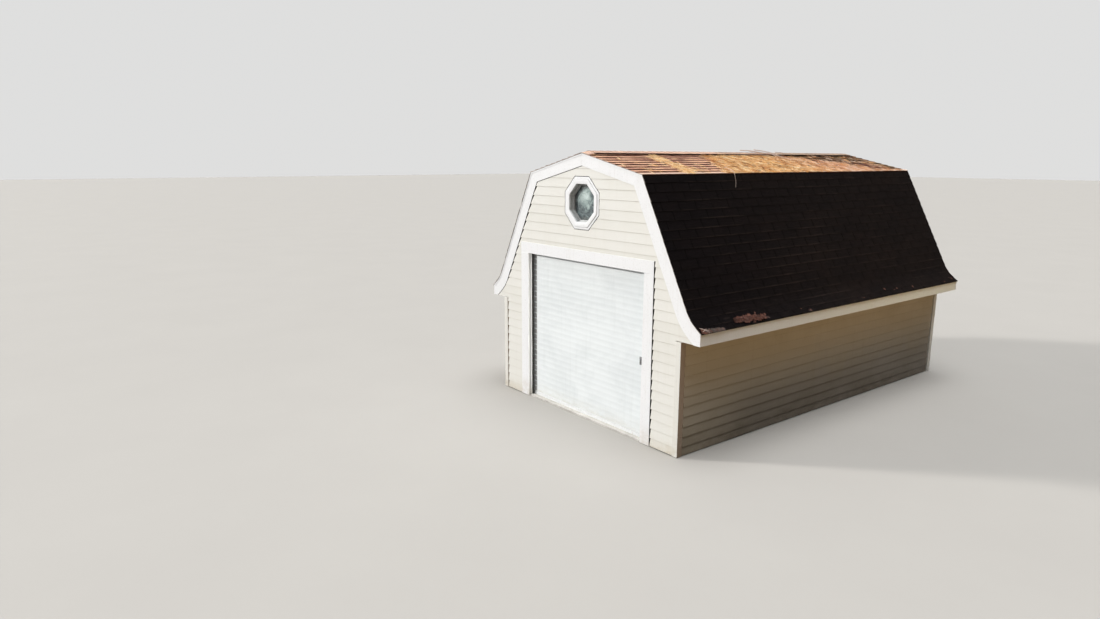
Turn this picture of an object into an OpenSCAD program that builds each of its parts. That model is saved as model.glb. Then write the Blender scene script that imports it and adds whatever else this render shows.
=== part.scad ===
// Boathouse: a small timber-framed shed with a gambrel roof, flared eaves,
// lapped siding, a roll-up sheet door in the front wall and an octagonal
// window in the front gable. Millimetres, +Z up, front wall faces -Y,
// origin on the ground at the middle of the plan.

/* [Plan] */
// Width over the corner boards
body_w = 3680; // [3300:10:4200]
// Length over the corner boards
body_l = 6280; // [4800:10:8000]
// Thickness of the framed walls with their sheathing
wall_t = 100; // [80:5:150]
// Depth of the siding over the sheathing
siding_t = 18; // [12:1:24]
// Thickness of the trim boards over the siding
trim_t = 22; // [16:1:30]

/* [Roof] */
// Height of the ridge, at the top of the roof deck
ridge_z = 3619; // [3480:1:3800]
// Half width of the roof at the break between the two slopes
knee_x = 1121; // [1000:1:1250]
// Height of the break between the two slopes
knee_z = 3357; // [3280:1:3400]
// Half width where the flared eave starts
flare_x = 1950; // [1900:1:2000]
// Height where the flared eave starts
flare_z = 1734; // [1700:1:1800]
// Half width over the eave fascias
eave_x = 2127; // [2080:1:2200]
// Height of the fascia's upper edge
eave_z = 1592; // [1570:1:1620]
// Height of the fascia's lower edge and of the soffit
soffit_z = 1446; // [1400:1:1480]
// Thickness of the roof slabs, rafters and sheathing together
deck_t = 100; // [80:5:120]
// Thickness of the shingle layer
shingle_t = 12; // [8:1:16]
// How far the shingles stand past the rake boards
shingle_lip = 10; // [5:1:20]
// Width of the rake boards on the upper slopes
rake_upper_w = 155; // [130:1:180]
// Width of the rake boards on the lower slopes
rake_lower_w = 176; // [150:1:200]

/* [Ridge vent] */
// Half width of the vent's slotted base
vent_half = 128; // [100:1:160]
// Height of the vent's slotted base
vent_h = 18; // [12:1:25]
// Half width of the cap shingles
cap_half = 150; // [140:1:200]
// Thickness of the cap shingles
cap_t = 9; // [6:1:14]
// How far the vent stops short of the gable faces
vent_back = 120; // [80:5:300]

/* [Base] */
// Height of the kerb under the walls
kerb_h = 60; // [40:5:80]
// Height of the siding's lower edge above the ground
siding_z0 = 12; // [8:1:40]
// Height of the trim boards' lower ends above the ground
trim_z0 = 6; // [4:1:20]

/* [Door] */
// Clear width of the doorway
door_w = 2400; // [1800:10:2500]
// Height of the doorway's head
door_z = 2190; // [1900:10:2250]
// Height of the threshold
threshold_h = 25; // [15:1:40]
// Width of the casing boards beside the door
casing_w = 178; // [120:1:200]
// Width of the casing board over the door
head_w = 157; // [120:1:180]
// Thickness of the jamb boards
jamb_t = 25; // [18:1:35]
// Depth of the jambs behind the siding
jamb_d = 43; // [30:1:60]
// Thickness of the curtain over its ribs
curtain_t = 20; // [12:1:25]

/* [Window] */
// Height of the window's centre
window_z = 2972; // [2900:1:3000]
// Clear opening of the casing across its flats
window_af = 500; // [400:5:520]
// Width of the window's casing
window_cw = 95; // [70:1:100]

/* [Hidden] */

// Planes from the outside in: trim faces, siding faces, sheathing, wall inside.
tx = body_w / 2;
ty = body_l / 2;
sx = tx - trim_t;
sy = ty - trim_t;
wx = sx - siding_t;
wy = sy - siding_t;
ix = wx - wall_t;
iy = wy - wall_t;
soffit_t = 12;
fascia_t = 22;
kick_h = 70;
corner_w = 85;
rough_x = door_w / 2 + jamb_t;
rough_z = door_z + jamb_t;
frame_af = window_af + 24;

// Outline of the right half of the roof, at the top of the deck.
P_ridge = [0, ridge_z];
P_knee = [knee_x, knee_z];
P_flare = [flare_x, flare_z];
P_eave = [eave_x, eave_z];

function unit(v) = v / norm(v);
function dir(a, b) = unit(b - a);
// Normal that points up and out of a line running down to the right.
function nrm(a, b) = let (d = dir(a, b)) [-d[1], d[0]];
// Corner b of the line a-b-c, moved out by d and mitred.
function mitre(a, b, c, d) =
    let (n1 = nrm(a, b), n2 = nrm(b, c)) b + d * (n1 + n2) / (1 + n1 * n2);
// Height of the line a-b at x.
function zat(a, b, x) = a[1] + (x - a[0]) * (b[1] - a[1]) / (b[0] - a[0]);

// Ridge point of the upper slope's line moved out by d.
function ridge_at(d) = [0, ridge_z + d / nrm(P_ridge, P_knee)[1]];
function knee_at(d) = mitre(P_ridge, P_knee, P_flare, d);
function flare_at(d) = mitre(P_knee, P_flare, P_eave, d);

// Underside of the roof slabs.
U_ridge = ridge_at(-deck_t);
U_knee = knee_at(-deck_t);
U_foot = P_flare - deck_t * nrm(P_knee, P_flare);
kick_z = zat(P_flare, P_eave, eave_x - fascia_t);
function under_lower(x) = zat(U_knee, U_foot, x);

// Extrude an outline drawn in X and Z from y0 to y1.
module along_y(y0, y1) {
    translate([0, y1, 0]) rotate([90, 0, 0]) linear_extrude(height = y1 - y0) children();
}
module box(x0, x1, y0, y1, z0, z1) {
    translate([x0, y0, z0]) cube([x1 - x0, y1 - y0, z1 - z0]);
}
// Regular octagon in X and Z with flats left, right, top and bottom.
module octagon(af) {
    translate([0, window_z]) rotate(22.5) circle(r = af / 2 / cos(22.5), $fn = 8);
}
module mirror_x(flip) {
    if (flip) mirror([1, 0, 0]) children(); else children();
}

// Outline of a gable wall, from z0 to the roof slabs' undersides.
module gable_outline(half, z0) {
    polygon([[-half, z0], [half, z0], [half, under_lower(half)], U_knee, U_ridge,
             [-U_knee[0], U_knee[1]], [-half, under_lower(half)]]);
}

// ---- Base ----
module foundation_front() {
    color("#8d8a83") for (s = [-1, 1])
        mirror_x(s < 0) box(rough_x, wx, -wy, -iy, 0, kerb_h);
}
module foundation_rear() { color("#8d8a83") box(-wx, wx, iy, wy, 0, kerb_h); }
module foundation_right() { color("#8d8a83") box(ix, wx, -iy, iy, 0, kerb_h); }
module foundation_left() { color("#8d8a83") mirror_x(true) box(ix, wx, -iy, iy, 0, kerb_h); }
module door_threshold() { color("#97948c") box(-rough_x, rough_x, -sy, -iy, 0, threshold_h); }

// ---- Framed walls ----
module side_wall(flip) {
    color("#5b5348") mirror_x(flip) along_y(-iy, iy)
        polygon([[ix, kerb_h], [wx, kerb_h], [wx, under_lower(wx)], [ix, under_lower(ix)]]);
}
module wall_right() { side_wall(false); }
module wall_left() { side_wall(true); }
module wall_rear() { color("#5b5348") along_y(iy, wy) gable_outline(wx, kerb_h); }
module pier(flip) {
    color("#5b5348") mirror_x(flip) along_y(-wy, -iy)
        polygon([[rough_x, kerb_h], [wx, kerb_h], [wx, under_lower(wx)],
                 [pier_x, rough_z], [rough_x, rough_z]]);
}
module wall_front_right() { pier(false); }
module wall_front_left() { pier(true); }
// Where the roof's underside crosses the height of the doorway's head.
pier_x = U_foot[0] + (rough_z - U_foot[1]) * (U_knee[0] - U_foot[0]) / (U_knee[1] - U_foot[1]);
module wall_front_gable() {
    color("#5b5348") along_y(-wy, -iy) difference() {
        polygon([[-pier_x, rough_z], [pier_x, rough_z], U_knee, U_ridge, [-U_knee[0], U_knee[1]]]);
        octagon(frame_af);
    }
}

// ---- Siding ----
module side_siding(flip) {
    color("#e7e1d2") mirror_x(flip) box(wx, sx, -wy, wy, siding_z0, soffit_z);
}
module siding_right() { side_siding(false); }
module siding_left() { side_siding(true); }
module siding_rear() { color("#e7e1d2") along_y(wy, sy) gable_outline(sx, siding_z0); }
module siding_front() {
    color("#e7e1d2") along_y(-sy, -wy) difference() {
        gable_outline(sx, siding_z0);
        translate([-rough_x, -10]) square([2 * rough_x, rough_z + 10]);
        octagon(frame_af);
    }
}

// ---- Roof ----
module upper_slab(flip) {
    color("#6b5a45") mirror_x(flip) along_y(-sy, sy)
        polygon([P_ridge, P_knee, U_knee, U_ridge]);
}
module lower_slab(flip) {
    color("#6b5a45") mirror_x(flip) along_y(-sy, sy)
        polygon([P_knee, P_flare, U_foot, U_knee]);
}
module kick(flip) {
    color("#6b5a45") mirror_x(flip) along_y(-sy, sy)
        polygon([P_flare, [eave_x - fascia_t, kick_z], [eave_x - fascia_t, kick_z - kick_h], U_foot]);
}
module roof_upper_right() { upper_slab(false); }
module roof_upper_left() { upper_slab(true); }
module roof_lower_right() { lower_slab(false); }
module roof_lower_left() { lower_slab(true); }
module eave_kick_right() { kick(false); }
module eave_kick_left() { kick(true); }

module shingle_skin(flip) {
    e0 = P_eave + 14 * dir(P_flare, P_eave);
    color("#3a302c") mirror_x(flip) along_y(-ty - shingle_lip, ty + shingle_lip)
        polygon([P_ridge, P_knee, P_flare, e0, e0 + shingle_t * nrm(P_flare, P_eave),
                 flare_at(shingle_t), knee_at(shingle_t), ridge_at(shingle_t)]);
}
module shingles_right() { shingle_skin(false); }
module shingles_left() { shingle_skin(true); }

// A folded strip over the ridge: half width w, from height a to b over the deck.
module ridge_strip(w, a, b) {
    r0 = ridge_at(a);
    r1 = ridge_at(b);
    d = dir(P_ridge, P_knee);
    polygon([r0, r0 + w * d, r1 + w * d, r1, [-(r1 + w * d)[0], (r1 + w * d)[1]],
             [-(r0 + w * d)[0], (r0 + w * d)[1]]]);
}
vent_y = ty - vent_back;
module ridge_vent() {
    color("#241f1c") along_y(-vent_y, vent_y)
        ridge_strip(vent_half, shingle_t, shingle_t + vent_h);
}
module ridge_cap() {
    color("#7c6455") {
        along_y(-vent_y, vent_y)
            ridge_strip(cap_half, shingle_t + vent_h, shingle_t + vent_h + cap_t);
        for (y = [-ty - shingle_lip, vent_y + 2])
            along_y(y, y + vent_back + shingle_lip - 2)
                ridge_strip(cap_half, shingle_t, shingle_t + cap_t);
    }
}

// ---- Trim ----
// One bent board under the roof's edge, with a level foot at the soffit.
R_knee = let (a = ridge_at(-rake_upper_w), u = nrm(P_ridge, P_knee), w = nrm(P_knee, P_flare),
              p = P_knee - rake_upper_w * u, q = P_knee - rake_lower_w * w,
              d1 = dir(P_ridge, P_knee), d2 = dir(P_knee, P_flare),
              t = ((q - p)[0] * d2[1] - (q - p)[1] * d2[0]) / (d1[0] * d2[1] - d1[1] * d2[0]))
         p + t * d1;
R_flare = mitre(P_knee, P_flare, P_eave, -rake_lower_w);
R_foot = let (d = dir(P_flare, P_eave), t = (soffit_z - R_flare[1]) / d[1]) R_flare + t * d;
module rake_outline() {
    polygon([P_ridge, P_knee, P_flare, P_eave, [eave_x, soffit_z], R_foot, R_flare, R_knee,
             ridge_at(-rake_upper_w)]);
}
module rake(flip, y0) {
    color("#f4f4f2") mirror_x(flip) along_y(y0, y0 + trim_t) rake_outline();
}
module rake_front_right() { rake(false, -ty); }
module rake_front_left() { rake(true, -ty); }
module rake_rear_right() { rake(false, sy); }
module rake_rear_left() { rake(true, sy); }

module fascia(flip) {
    color("#e4e2da") mirror_x(flip) along_y(-sy, sy)
        polygon([[eave_x - fascia_t, soffit_z], [eave_x, soffit_z], P_eave,
                 [eave_x - fascia_t, kick_z]]);
}
module fascia_right() { fascia(false); }
module fascia_left() { fascia(true); }
module soffit(flip) {
    color("#dcd9cf") mirror_x(flip)
        box(wx, eave_x - fascia_t, -wy, wy, soffit_z, soffit_z + soffit_t);
}
module soffit_right() { soffit(false); }
module soffit_left() { soffit(true); }
// Closing boards at the four open ends of the eave boxes.
module eave_ends() {
    color("#e7e1d2") for (fx = [false, true]) for (y = [-sy, wy])
        mirror_x(fx) along_y(y, y + siding_t)
            polygon([[sx, soffit_z], [eave_x - fascia_t, soffit_z],
                     [eave_x - fascia_t, kick_z - kick_h], U_foot, [sx, under_lower(sx)]]);
}

module corner(flip_x, flip_y) {
    mirror_x(flip_x) mirror([0, flip_y ? 1 : 0, 0])
        translate([0, 0, trim_z0]) linear_extrude(height = soffit_z - trim_z0)
            polygon([[tx, -ty], [tx, -ty + corner_w], [sx, -ty + corner_w], [sx, -sy],
                     [tx - corner_w, -sy], [tx - corner_w, -ty]]);
}
module corner_boards_front() {
    color("#f2f1ec") { corner(false, false); corner(true, false); }
}
module corner_boards_rear() {
    color("#f2f1ec") { corner(false, true); corner(true, true); }
}

// ---- Door ----
module door_side_casings() {
    color("#f6f6f5") for (f = [false, true]) mirror_x(f)
        box(door_w / 2, door_w / 2 + casing_w, -ty, -sy, trim_z0, door_z);
}
module door_head_casing() {
    color("#f6f6f5")
        box(-door_w / 2 - casing_w, door_w / 2 + casing_w, -ty, -sy, door_z, door_z + head_w);
}
module door_frame() {
    color("#efefec") along_y(-sy, -sy + jamb_d) difference() {
        translate([-rough_x, threshold_h]) square([2 * rough_x, rough_z - threshold_h]);
        translate([-door_w / 2, 0]) square([door_w, door_z]);
    }
}
guide_w = 55;
guide_y0 = -sy + jamb_d;
curtain_y0 = guide_y0 + 22;
module door_guides() {
    color("#2c2b29") for (f = [false, true]) mirror_x(f)
        box(rough_x - guide_w, rough_x, guide_y0, curtain_y0, threshold_h, rough_z);
}
bar_z = threshold_h + 55;
module door_curtain() {
    color("#edf0f2") box(-rough_x, rough_x, curtain_y0, curtain_y0 + curtain_t, bar_z, rough_z);
}
module door_bottom_bar() {
    color("#c9ccce")
        box(-rough_x, rough_x, curtain_y0, curtain_y0 + curtain_t, threshold_h, bar_z);
}
module door_latch() {
    color("#7f8284") {
        box(1080, 1122, curtain_y0 - 5, curtain_y0, 992, 1098);
        box(1093, 1109, curtain_y0 - 19, curtain_y0 - 5, 1006, 1084);
    }
}

// ---- Window ----
module ring(af_out, af_in, y0, y1) {
    along_y(y0, y1) difference() { octagon(af_out); octagon(af_in); }
}
module window_casing() {
    color("#f4f4f2") ring(window_af + 2 * window_cw, window_af, -ty, -sy);
}
module window_frame() {
    color("#ecebe6") {
        ring(frame_af, window_af, -sy, -iy);
        ring(window_af, 440, -sy + 33, -sy + 58);
    }
}
module window_glass() { color("#55666b") along_y(-sy + 58, -sy + 64) octagon(480); }

foundation_front();
foundation_rear();
foundation_left();
foundation_right();
door_threshold();
wall_left();
wall_right();
wall_rear();
wall_front_left();
wall_front_right();
wall_front_gable();
siding_left();
siding_right();
siding_rear();
siding_front();
roof_lower_left();
roof_lower_right();
roof_upper_left();
roof_upper_right();
eave_kick_left();
eave_kick_right();
shingles_left();
shingles_right();
ridge_vent();
ridge_cap();
rake_front_left();
rake_front_right();
rake_rear_left();
rake_rear_right();
fascia_left();
fascia_right();
soffit_left();
soffit_right();
eave_ends();
corner_boards_front();
corner_boards_rear();
door_side_casings();
door_head_casing();
door_frame();
door_guides();
door_curtain();
door_bottom_bar();
door_latch();
window_casing();
window_frame();
window_glass();
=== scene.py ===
import math
import random

import bmesh
import bpy
import numpy as np
from mathutils import Matrix, Vector


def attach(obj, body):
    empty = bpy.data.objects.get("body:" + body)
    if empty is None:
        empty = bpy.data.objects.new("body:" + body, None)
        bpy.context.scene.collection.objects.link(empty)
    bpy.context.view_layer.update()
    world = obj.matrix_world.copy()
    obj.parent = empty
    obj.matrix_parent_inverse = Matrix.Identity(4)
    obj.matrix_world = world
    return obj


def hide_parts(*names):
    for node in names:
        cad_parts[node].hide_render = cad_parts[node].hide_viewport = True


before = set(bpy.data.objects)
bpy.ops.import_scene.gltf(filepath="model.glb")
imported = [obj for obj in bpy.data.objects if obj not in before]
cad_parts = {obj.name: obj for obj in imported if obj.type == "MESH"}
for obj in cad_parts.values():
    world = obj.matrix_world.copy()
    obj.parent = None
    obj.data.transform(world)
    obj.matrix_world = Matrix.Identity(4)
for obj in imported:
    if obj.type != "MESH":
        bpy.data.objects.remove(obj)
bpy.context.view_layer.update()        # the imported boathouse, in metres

MM = 0.001
scene = bpy.context.scene

# ---------------------------------------------------------------- camera
# The photograph's viewpoint: in front of the building's right corner, a little
# under the height of the ridge, looking down by 11.5 degrees.
YAW, PITCH, ROLL = math.radians(-52.478), math.radians(11.549), math.radians(0.1034)
fwd = Vector((math.cos(PITCH) * math.sin(YAW), math.cos(PITCH) * math.cos(YAW), -math.sin(PITCH)))
right0 = fwd.cross(Vector((0, 0, 1))).normalized()
up0 = right0.cross(fwd)
right = right0 * math.cos(ROLL) + up0 * math.sin(ROLL)
up = up0 * math.cos(ROLL) - right0 * math.sin(ROLL)
cam_data = bpy.data.cameras.new("camera")
cam = bpy.data.objects.new("camera", cam_data)
scene.collection.objects.link(cam)
rot = Matrix((right, up, -fwd)).transposed()
cam.matrix_world = Matrix.Translation((7.5018, -9.4195, 3.5349)) @ rot.to_4x4()
cam_data.sensor_width = 36.0
cam_data.lens = 23.994
cam_data.clip_end = 500
scene.camera = cam

# ---------------------------------------------------------------- sizes, mm
TX, TY = 1840.0, 3140.0            # over the trim boards
SX, SY = 1818.0, 3118.0            # over the siding's butts
WX, WY = 1800.0, 3100.0            # sheathing
IY = 3000.0
SOFFIT = 1446.0
COURSE = 127.0
BUTTS = [12.0] + [119.0 + COURSE * k for k in range(28)]
P_RIDGE, P_KNEE = np.array((0.0, 3619.0)), np.array((1121.0, 3357.0))
P_FLARE, P_EAVE = np.array((1950.0, 1734.0)), np.array((2127.0, 1592.0))


def unit(v):
    return v / np.linalg.norm(v)


def normal(a, b):
    d = unit(b - a)
    return np.array((-d[1], d[0]))


def cross_point(p, d, q, e):
    t = ((q - p)[0] * e[1] - (q - p)[1] * e[0]) / (d[0] * e[1] - d[1] * e[0])
    return p + t * d


D_UP, N_UP = unit(P_KNEE - P_RIDGE), normal(P_RIDGE, P_KNEE)
D_LOW, N_LOW = unit(P_FLARE - P_KNEE), normal(P_KNEE, P_FLARE)
D_FL, N_FL = unit(P_EAVE - P_FLARE), normal(P_FLARE, P_EAVE)
L_UP = float(np.linalg.norm(P_KNEE - P_RIDGE))
L_LOW = float(np.linalg.norm(P_FLARE - P_KNEE))
L_FL = float(np.linalg.norm(P_EAVE - P_FLARE))
BEND = 115.0                       # the flare's bend is rounded over this length each way


def ridge_at(d):
    return np.array((0.0, P_RIDGE[1] + d / N_UP[1]))


def low_path(s):
    """Point and outward normal on the lower slope's deck, s mm below the knee."""
    s = np.asarray(s, float)[..., None]
    a = P_KNEE + s * D_LOW
    b = P_FLARE + (s - L_LOW) * D_FL
    t = (s - (L_LOW - BEND)) / (2 * BEND)
    p0, p2 = P_FLARE - BEND * D_LOW, P_FLARE + BEND * D_FL
    c = (1 - t) ** 2 * p0 + 2 * t * (1 - t) * P_FLARE + t ** 2 * p2
    tc = 2 * (1 - t) * (P_FLARE - p0) + 2 * t * (p2 - P_FLARE)
    tc = tc / np.linalg.norm(tc, axis=-1, keepdims=True)
    nc = np.stack([-tc[..., 1], tc[..., 0]], -1)
    point = np.where(t < 0, a, np.where(t > 1, b, c))
    norm = np.where(t < 0, N_LOW, np.where(t > 1, N_FL, nc))
    return point, norm


def bent(inner):
    """Points down the lower slope and round the flare, moved in by inner."""
    s = np.array([0.0] + [L_LOW - BEND + 2 * BEND * i / 8 for i in range(9)] + [L_LOW + L_FL])
    p, n = low_path(s)
    return p - inner * n


# ---------------------------------------------------------------- mesh helpers
class Build:
    """Collects closed solids, in mm, and makes one piece of them."""

    def __init__(self):
        self.co, self.faces, self.tone, self.wear, self.under, self.n = [], [], [], [], [], 0

    def add(self, verts, faces, tone=0.5, wear=0.0, under=0.0):
        verts = np.asarray(verts, float).reshape(-1, 3)
        self.co.append(verts)
        n = self.n
        self.faces.extend([tuple(i + n for i in f) for f in faces])
        self.tone.append(np.broadcast_to(np.asarray(tone, float), (len(verts),)))
        self.wear.append(np.broadcast_to(np.asarray(wear, float), (len(verts),)))
        self.under.append(np.broadcast_to(np.asarray(under, float), (len(verts),)))
        self.n += len(verts)

    def piece(self, name, material, slot, *nodes, fix=True):
        me = bpy.data.meshes.new(name)
        me.from_pydata((np.concatenate(self.co) * MM).tolist(), [], self.faces)
        me.update()
        if fix:
            bm = bmesh.new()
            bm.from_mesh(me)
            bmesh.ops.recalc_face_normals(bm, faces=bm.faces)
            bm.to_mesh(me)
            bm.free()
        for key, values in (("tone", self.tone), ("wear", self.wear), ("under", self.under)):
            a = me.attributes.new(key, "FLOAT", "POINT")
            a.data.foreach_set("value", np.concatenate(values).astype(np.float32))
        me.materials.append(material)
        ob = bpy.data.objects.new(name, me)
        scene.collection.objects.link(ob)
        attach(ob, "root")
        if nodes:
            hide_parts(*nodes)
        return ob


def solid(outline, place, c0, c1, bevel=1.5, segments=2, sharp=0.45):
    """A board: an outline in two axes, c0 to c1 along the third, edges eased."""
    bm = bmesh.new()
    k = len(outline)
    va = [bm.verts.new(place(u, v, c0)) for u, v in outline]
    vb = [bm.verts.new(place(u, v, c1)) for u, v in outline]
    bm.faces.new(va)
    bm.faces.new(vb[::-1])
    for i in range(k):
        j = (i + 1) % k
        bm.faces.new((va[j], va[i], vb[i], vb[j]))
    bmesh.ops.recalc_face_normals(bm, faces=bm.faces)
    if bevel:
        edges = [e for e in bm.edges if e.calc_face_angle(0.0) > sharp]
        bmesh.ops.bevel(bm, geom=edges, offset=bevel, offset_type="OFFSET", segments=segments,
                        profile=0.5, affect="EDGES", clamp_overlap=True)
    bm.verts.index_update()
    verts = [tuple(v.co) for v in bm.verts]
    faces = [tuple(v.index for v in f.verts) for f in bm.faces]
    bm.free()
    return verts, faces


def on_front(u, z, d):
    return (u, -WY - d, z)


def on_rear(u, z, d):
    return (u, WY + d, z)


def on_right(u, z, d):
    return (WX + d, u, z)


def on_left(u, z, d):
    return (-WX - d, u, z)


def along_x(y, z, x):
    return (x, y, z)


def along_z(x, y, z):
    return (x, y, z)


def clip(poly, a, b, c):
    """The part of a convex polygon where a*u + b*v <= c."""
    out = []
    for i in range(len(poly)):
        p, q = poly[i], poly[(i + 1) % len(poly)]
        dp, dq = a * p[0] + b * p[1] - c, a * q[0] + b * q[1] - c
        if dp <= 1e-9:
            out.append(p)
        if (dp < -1e-9 and dq > 1e-9) or (dp > 1e-9 and dq < -1e-9):
            t = dp / (dp - dq)
            out.append((p[0] + t * (q[0] - p[0]), p[1] + t * (q[1] - p[1])))
    keep = []
    for p in out:
        if not keep or abs(p[0] - keep[-1][0]) + abs(p[1] - keep[-1][1]) > 1e-4:
            keep.append(p)
    if len(keep) > 1 and abs(keep[0][0] - keep[-1][0]) + abs(keep[0][1] - keep[-1][1]) <= 1e-4:
        keep.pop()
    return keep


def area(poly):
    return 0.5 * abs(sum(p[0] * q[1] - q[0] * p[1] for p, q in zip(poly, poly[1:] + poly[:1])))


def rect(u0, u1, v0, v1):
    return [(u0, v0), (u1, v0), (u1, v1), (u0, v1)]


def sweep(B, path, section, place, closed=False, tone=0.5, wear=0.0, under=0.0):
    """Carries a closed section of (n, d) along a path of (u, z): n to the left of the path, d out of the wall."""
    pts = [np.array(p, float) for p in path]
    k = len(pts)
    seg = [unit(pts[(i + 1) % k] - pts[i]) for i in range(k if closed else k - 1)]
    nrm = [np.array((-d[1], d[0])) for d in seg]
    verts, m = [], len(section)
    for i, p in enumerate(pts):
        if closed:
            n1, n2 = nrm[i - 1], nrm[i]
        else:
            n1, n2 = nrm[max(0, i - 1)], nrm[min(i, k - 2)]
        q = (n1 + n2) / (1 + n1 @ n2)
        for n, d in section:
            w = p + n * q
            verts.append(place(w[0], w[1], d))
    faces = []
    for i in range(k if closed else k - 1):
        a, b = i * m, ((i + 1) % k) * m
        for j in range(m):
            j2 = (j + 1) % m
            faces.append((a + j, a + j2, b + j2, b + j))
    if not closed:
        faces.append(tuple(range(m - 1, -1, -1)))
        faces.append(tuple(range((k - 1) * m, k * m)))
    B.add(verts, faces, tone, wear, under)


def octagon(af, cz=2972.0, cx=0.0):
    r = af / 2 / math.cos(math.radians(22.5))
    return [(cx + r * math.cos(math.radians(22.5 + 45 * i)), cz + r * math.sin(math.radians(22.5 + 45 * i)))
            for i in range(8)]


# ---------------------------------------------------------------- materials
class Nodes:
    """Small helpers that build one material's node tree."""

    def __init__(self, name):
        self.m = bpy.data.materials.new(name)
        self.m.use_nodes = True
        self.t = self.m.node_tree
        self.t.nodes.clear()
        out = self.t.nodes.new("ShaderNodeOutputMaterial")
        self.b = self.t.nodes.new("ShaderNodeBsdfPrincipled")
        self.t.links.new(self.b.outputs[0], out.inputs[0])
        self.co = self.t.nodes.new("ShaderNodeTexCoord").outputs["Object"]

    def _set(self, socket, value):
        if isinstance(value, bpy.types.NodeSocket):
            self.t.links.new(value, socket)
        elif isinstance(value, (tuple, list)) and socket.type == "RGBA" and len(value) == 3:
            socket.default_value = (*value, 1.0)
        else:
            socket.default_value = value

    def scaled(self, sx, sy, sz, turn=(0, 0, 0), shift=(0, 0, 0)):
        n = self.t.nodes.new("ShaderNodeMapping")
        n.inputs["Scale"].default_value = (sx, sy, sz)
        n.inputs["Rotation"].default_value = turn
        n.inputs["Location"].default_value = shift
        self.t.links.new(self.co, n.inputs["Vector"])
        return n.outputs[0]

    def strands(self, along, across, turn):
        """Coordinates for features that run along the direction at the angle turn from +X in plan."""
        n = self.t.nodes.new("ShaderNodeMapping")
        n.vector_type = "TEXTURE"
        n.inputs["Scale"].default_value = (1 / along, 1 / across, 1 / along)
        n.inputs["Rotation"].default_value = (0, 0, turn)
        self.t.links.new(self.co, n.inputs["Vector"])
        return n.outputs[0]

    def noise(self, vec, scale=1.0, detail=3.0, rough=0.55, distort=0.0, colour=False):
        n = self.t.nodes.new("ShaderNodeTexNoise")
        self._set(n.inputs["Vector"], vec)
        n.inputs["Scale"].default_value = scale
        n.inputs["Detail"].default_value = detail
        n.inputs["Roughness"].default_value = rough
        n.inputs["Distortion"].default_value = distort
        return n.outputs["Color" if colour else "Fac"]

    def cells(self, vec, scale=1.0, what="Distance", feature="F1", rand=1.0):
        n = self.t.nodes.new("ShaderNodeTexVoronoi")
        n.feature = feature
        self._set(n.inputs["Vector"], vec)
        n.inputs["Scale"].default_value = scale
        n.inputs["Randomness"].default_value = rand
        return n.outputs[what]

    def attr(self, name):
        n = self.t.nodes.new("ShaderNodeAttribute")
        n.attribute_name = name
        return n.outputs["Fac"]

    def axis(self, i):
        n = self.t.nodes.new("ShaderNodeSeparateXYZ")
        self.t.links.new(self.co, n.inputs[0])
        return n.outputs[i]

    def facing(self, i):
        """Component i of the true normal."""
        g = self.t.nodes.new("ShaderNodeNewGeometry")
        n = self.t.nodes.new("ShaderNodeSeparateXYZ")
        self.t.links.new(g.outputs["True Normal"], n.inputs[0])
        return n.outputs[i]

    def math(self, op, a, b=0.0, clamp=False):
        n = self.t.nodes.new("ShaderNodeMath")
        n.operation = op
        n.use_clamp = clamp
        self._set(n.inputs[0], a)
        self._set(n.inputs[1], b)
        return n.outputs[0]

    def span(self, v, a, b, c=0.0, d=1.0, smooth=False):
        """v from a..b to c..d, held at the ends."""
        n = self.t.nodes.new("ShaderNodeMapRange")
        n.clamp = True
        if smooth:
            n.interpolation_type = "SMOOTHSTEP"
        self._set(n.inputs["Value"], v)
        for key, x in (("From Min", a), ("From Max", b), ("To Min", c), ("To Max", d)):
            n.inputs[key].default_value = x
        return n.outputs[0]

    def mix(self, f, a, b, mode="MIX"):
        n = self.t.nodes.new("ShaderNodeMix")
        n.data_type = "RGBA"
        n.blend_type = mode
        n.clamp_factor = True
        self._set(n.inputs[0], f)
        self._set(n.inputs[6], a)
        self._set(n.inputs[7], b)
        return n.outputs[2]

    def ramp(self, f, *stops):
        n = self.t.nodes.new("ShaderNodeValToRGB")
        r = n.color_ramp
        while len(r.elements) < len(stops):
            r.elements.new(0.5)
        for e, (p, c) in zip(r.elements, stops):
            e.position = p
            e.color = (*c, 1.0)
        self._set(n.inputs[0], f)
        return n.outputs[0]

    def bump(self, height, strength=0.3, distance=0.001, under=None):
        n = self.t.nodes.new("ShaderNodeBump")
        n.inputs["Strength"].default_value = strength
        n.inputs["Distance"].default_value = distance
        self._set(n.inputs["Height"], height)
        if under is not None:
            self.t.links.new(under, n.inputs["Normal"])
        return n.outputs[0]

    def done(self, colour, rough, bump=None, **fixed):
        self._set(self.b.inputs["Base Color"], colour)
        self._set(self.b.inputs["Roughness"], rough)
        if bump is not None:
            self.t.links.new(bump, self.b.inputs["Normal"])
        for key, value in fixed.items():
            self.b.inputs[key.replace("_", " ")].default_value = value
        return self.m


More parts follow.
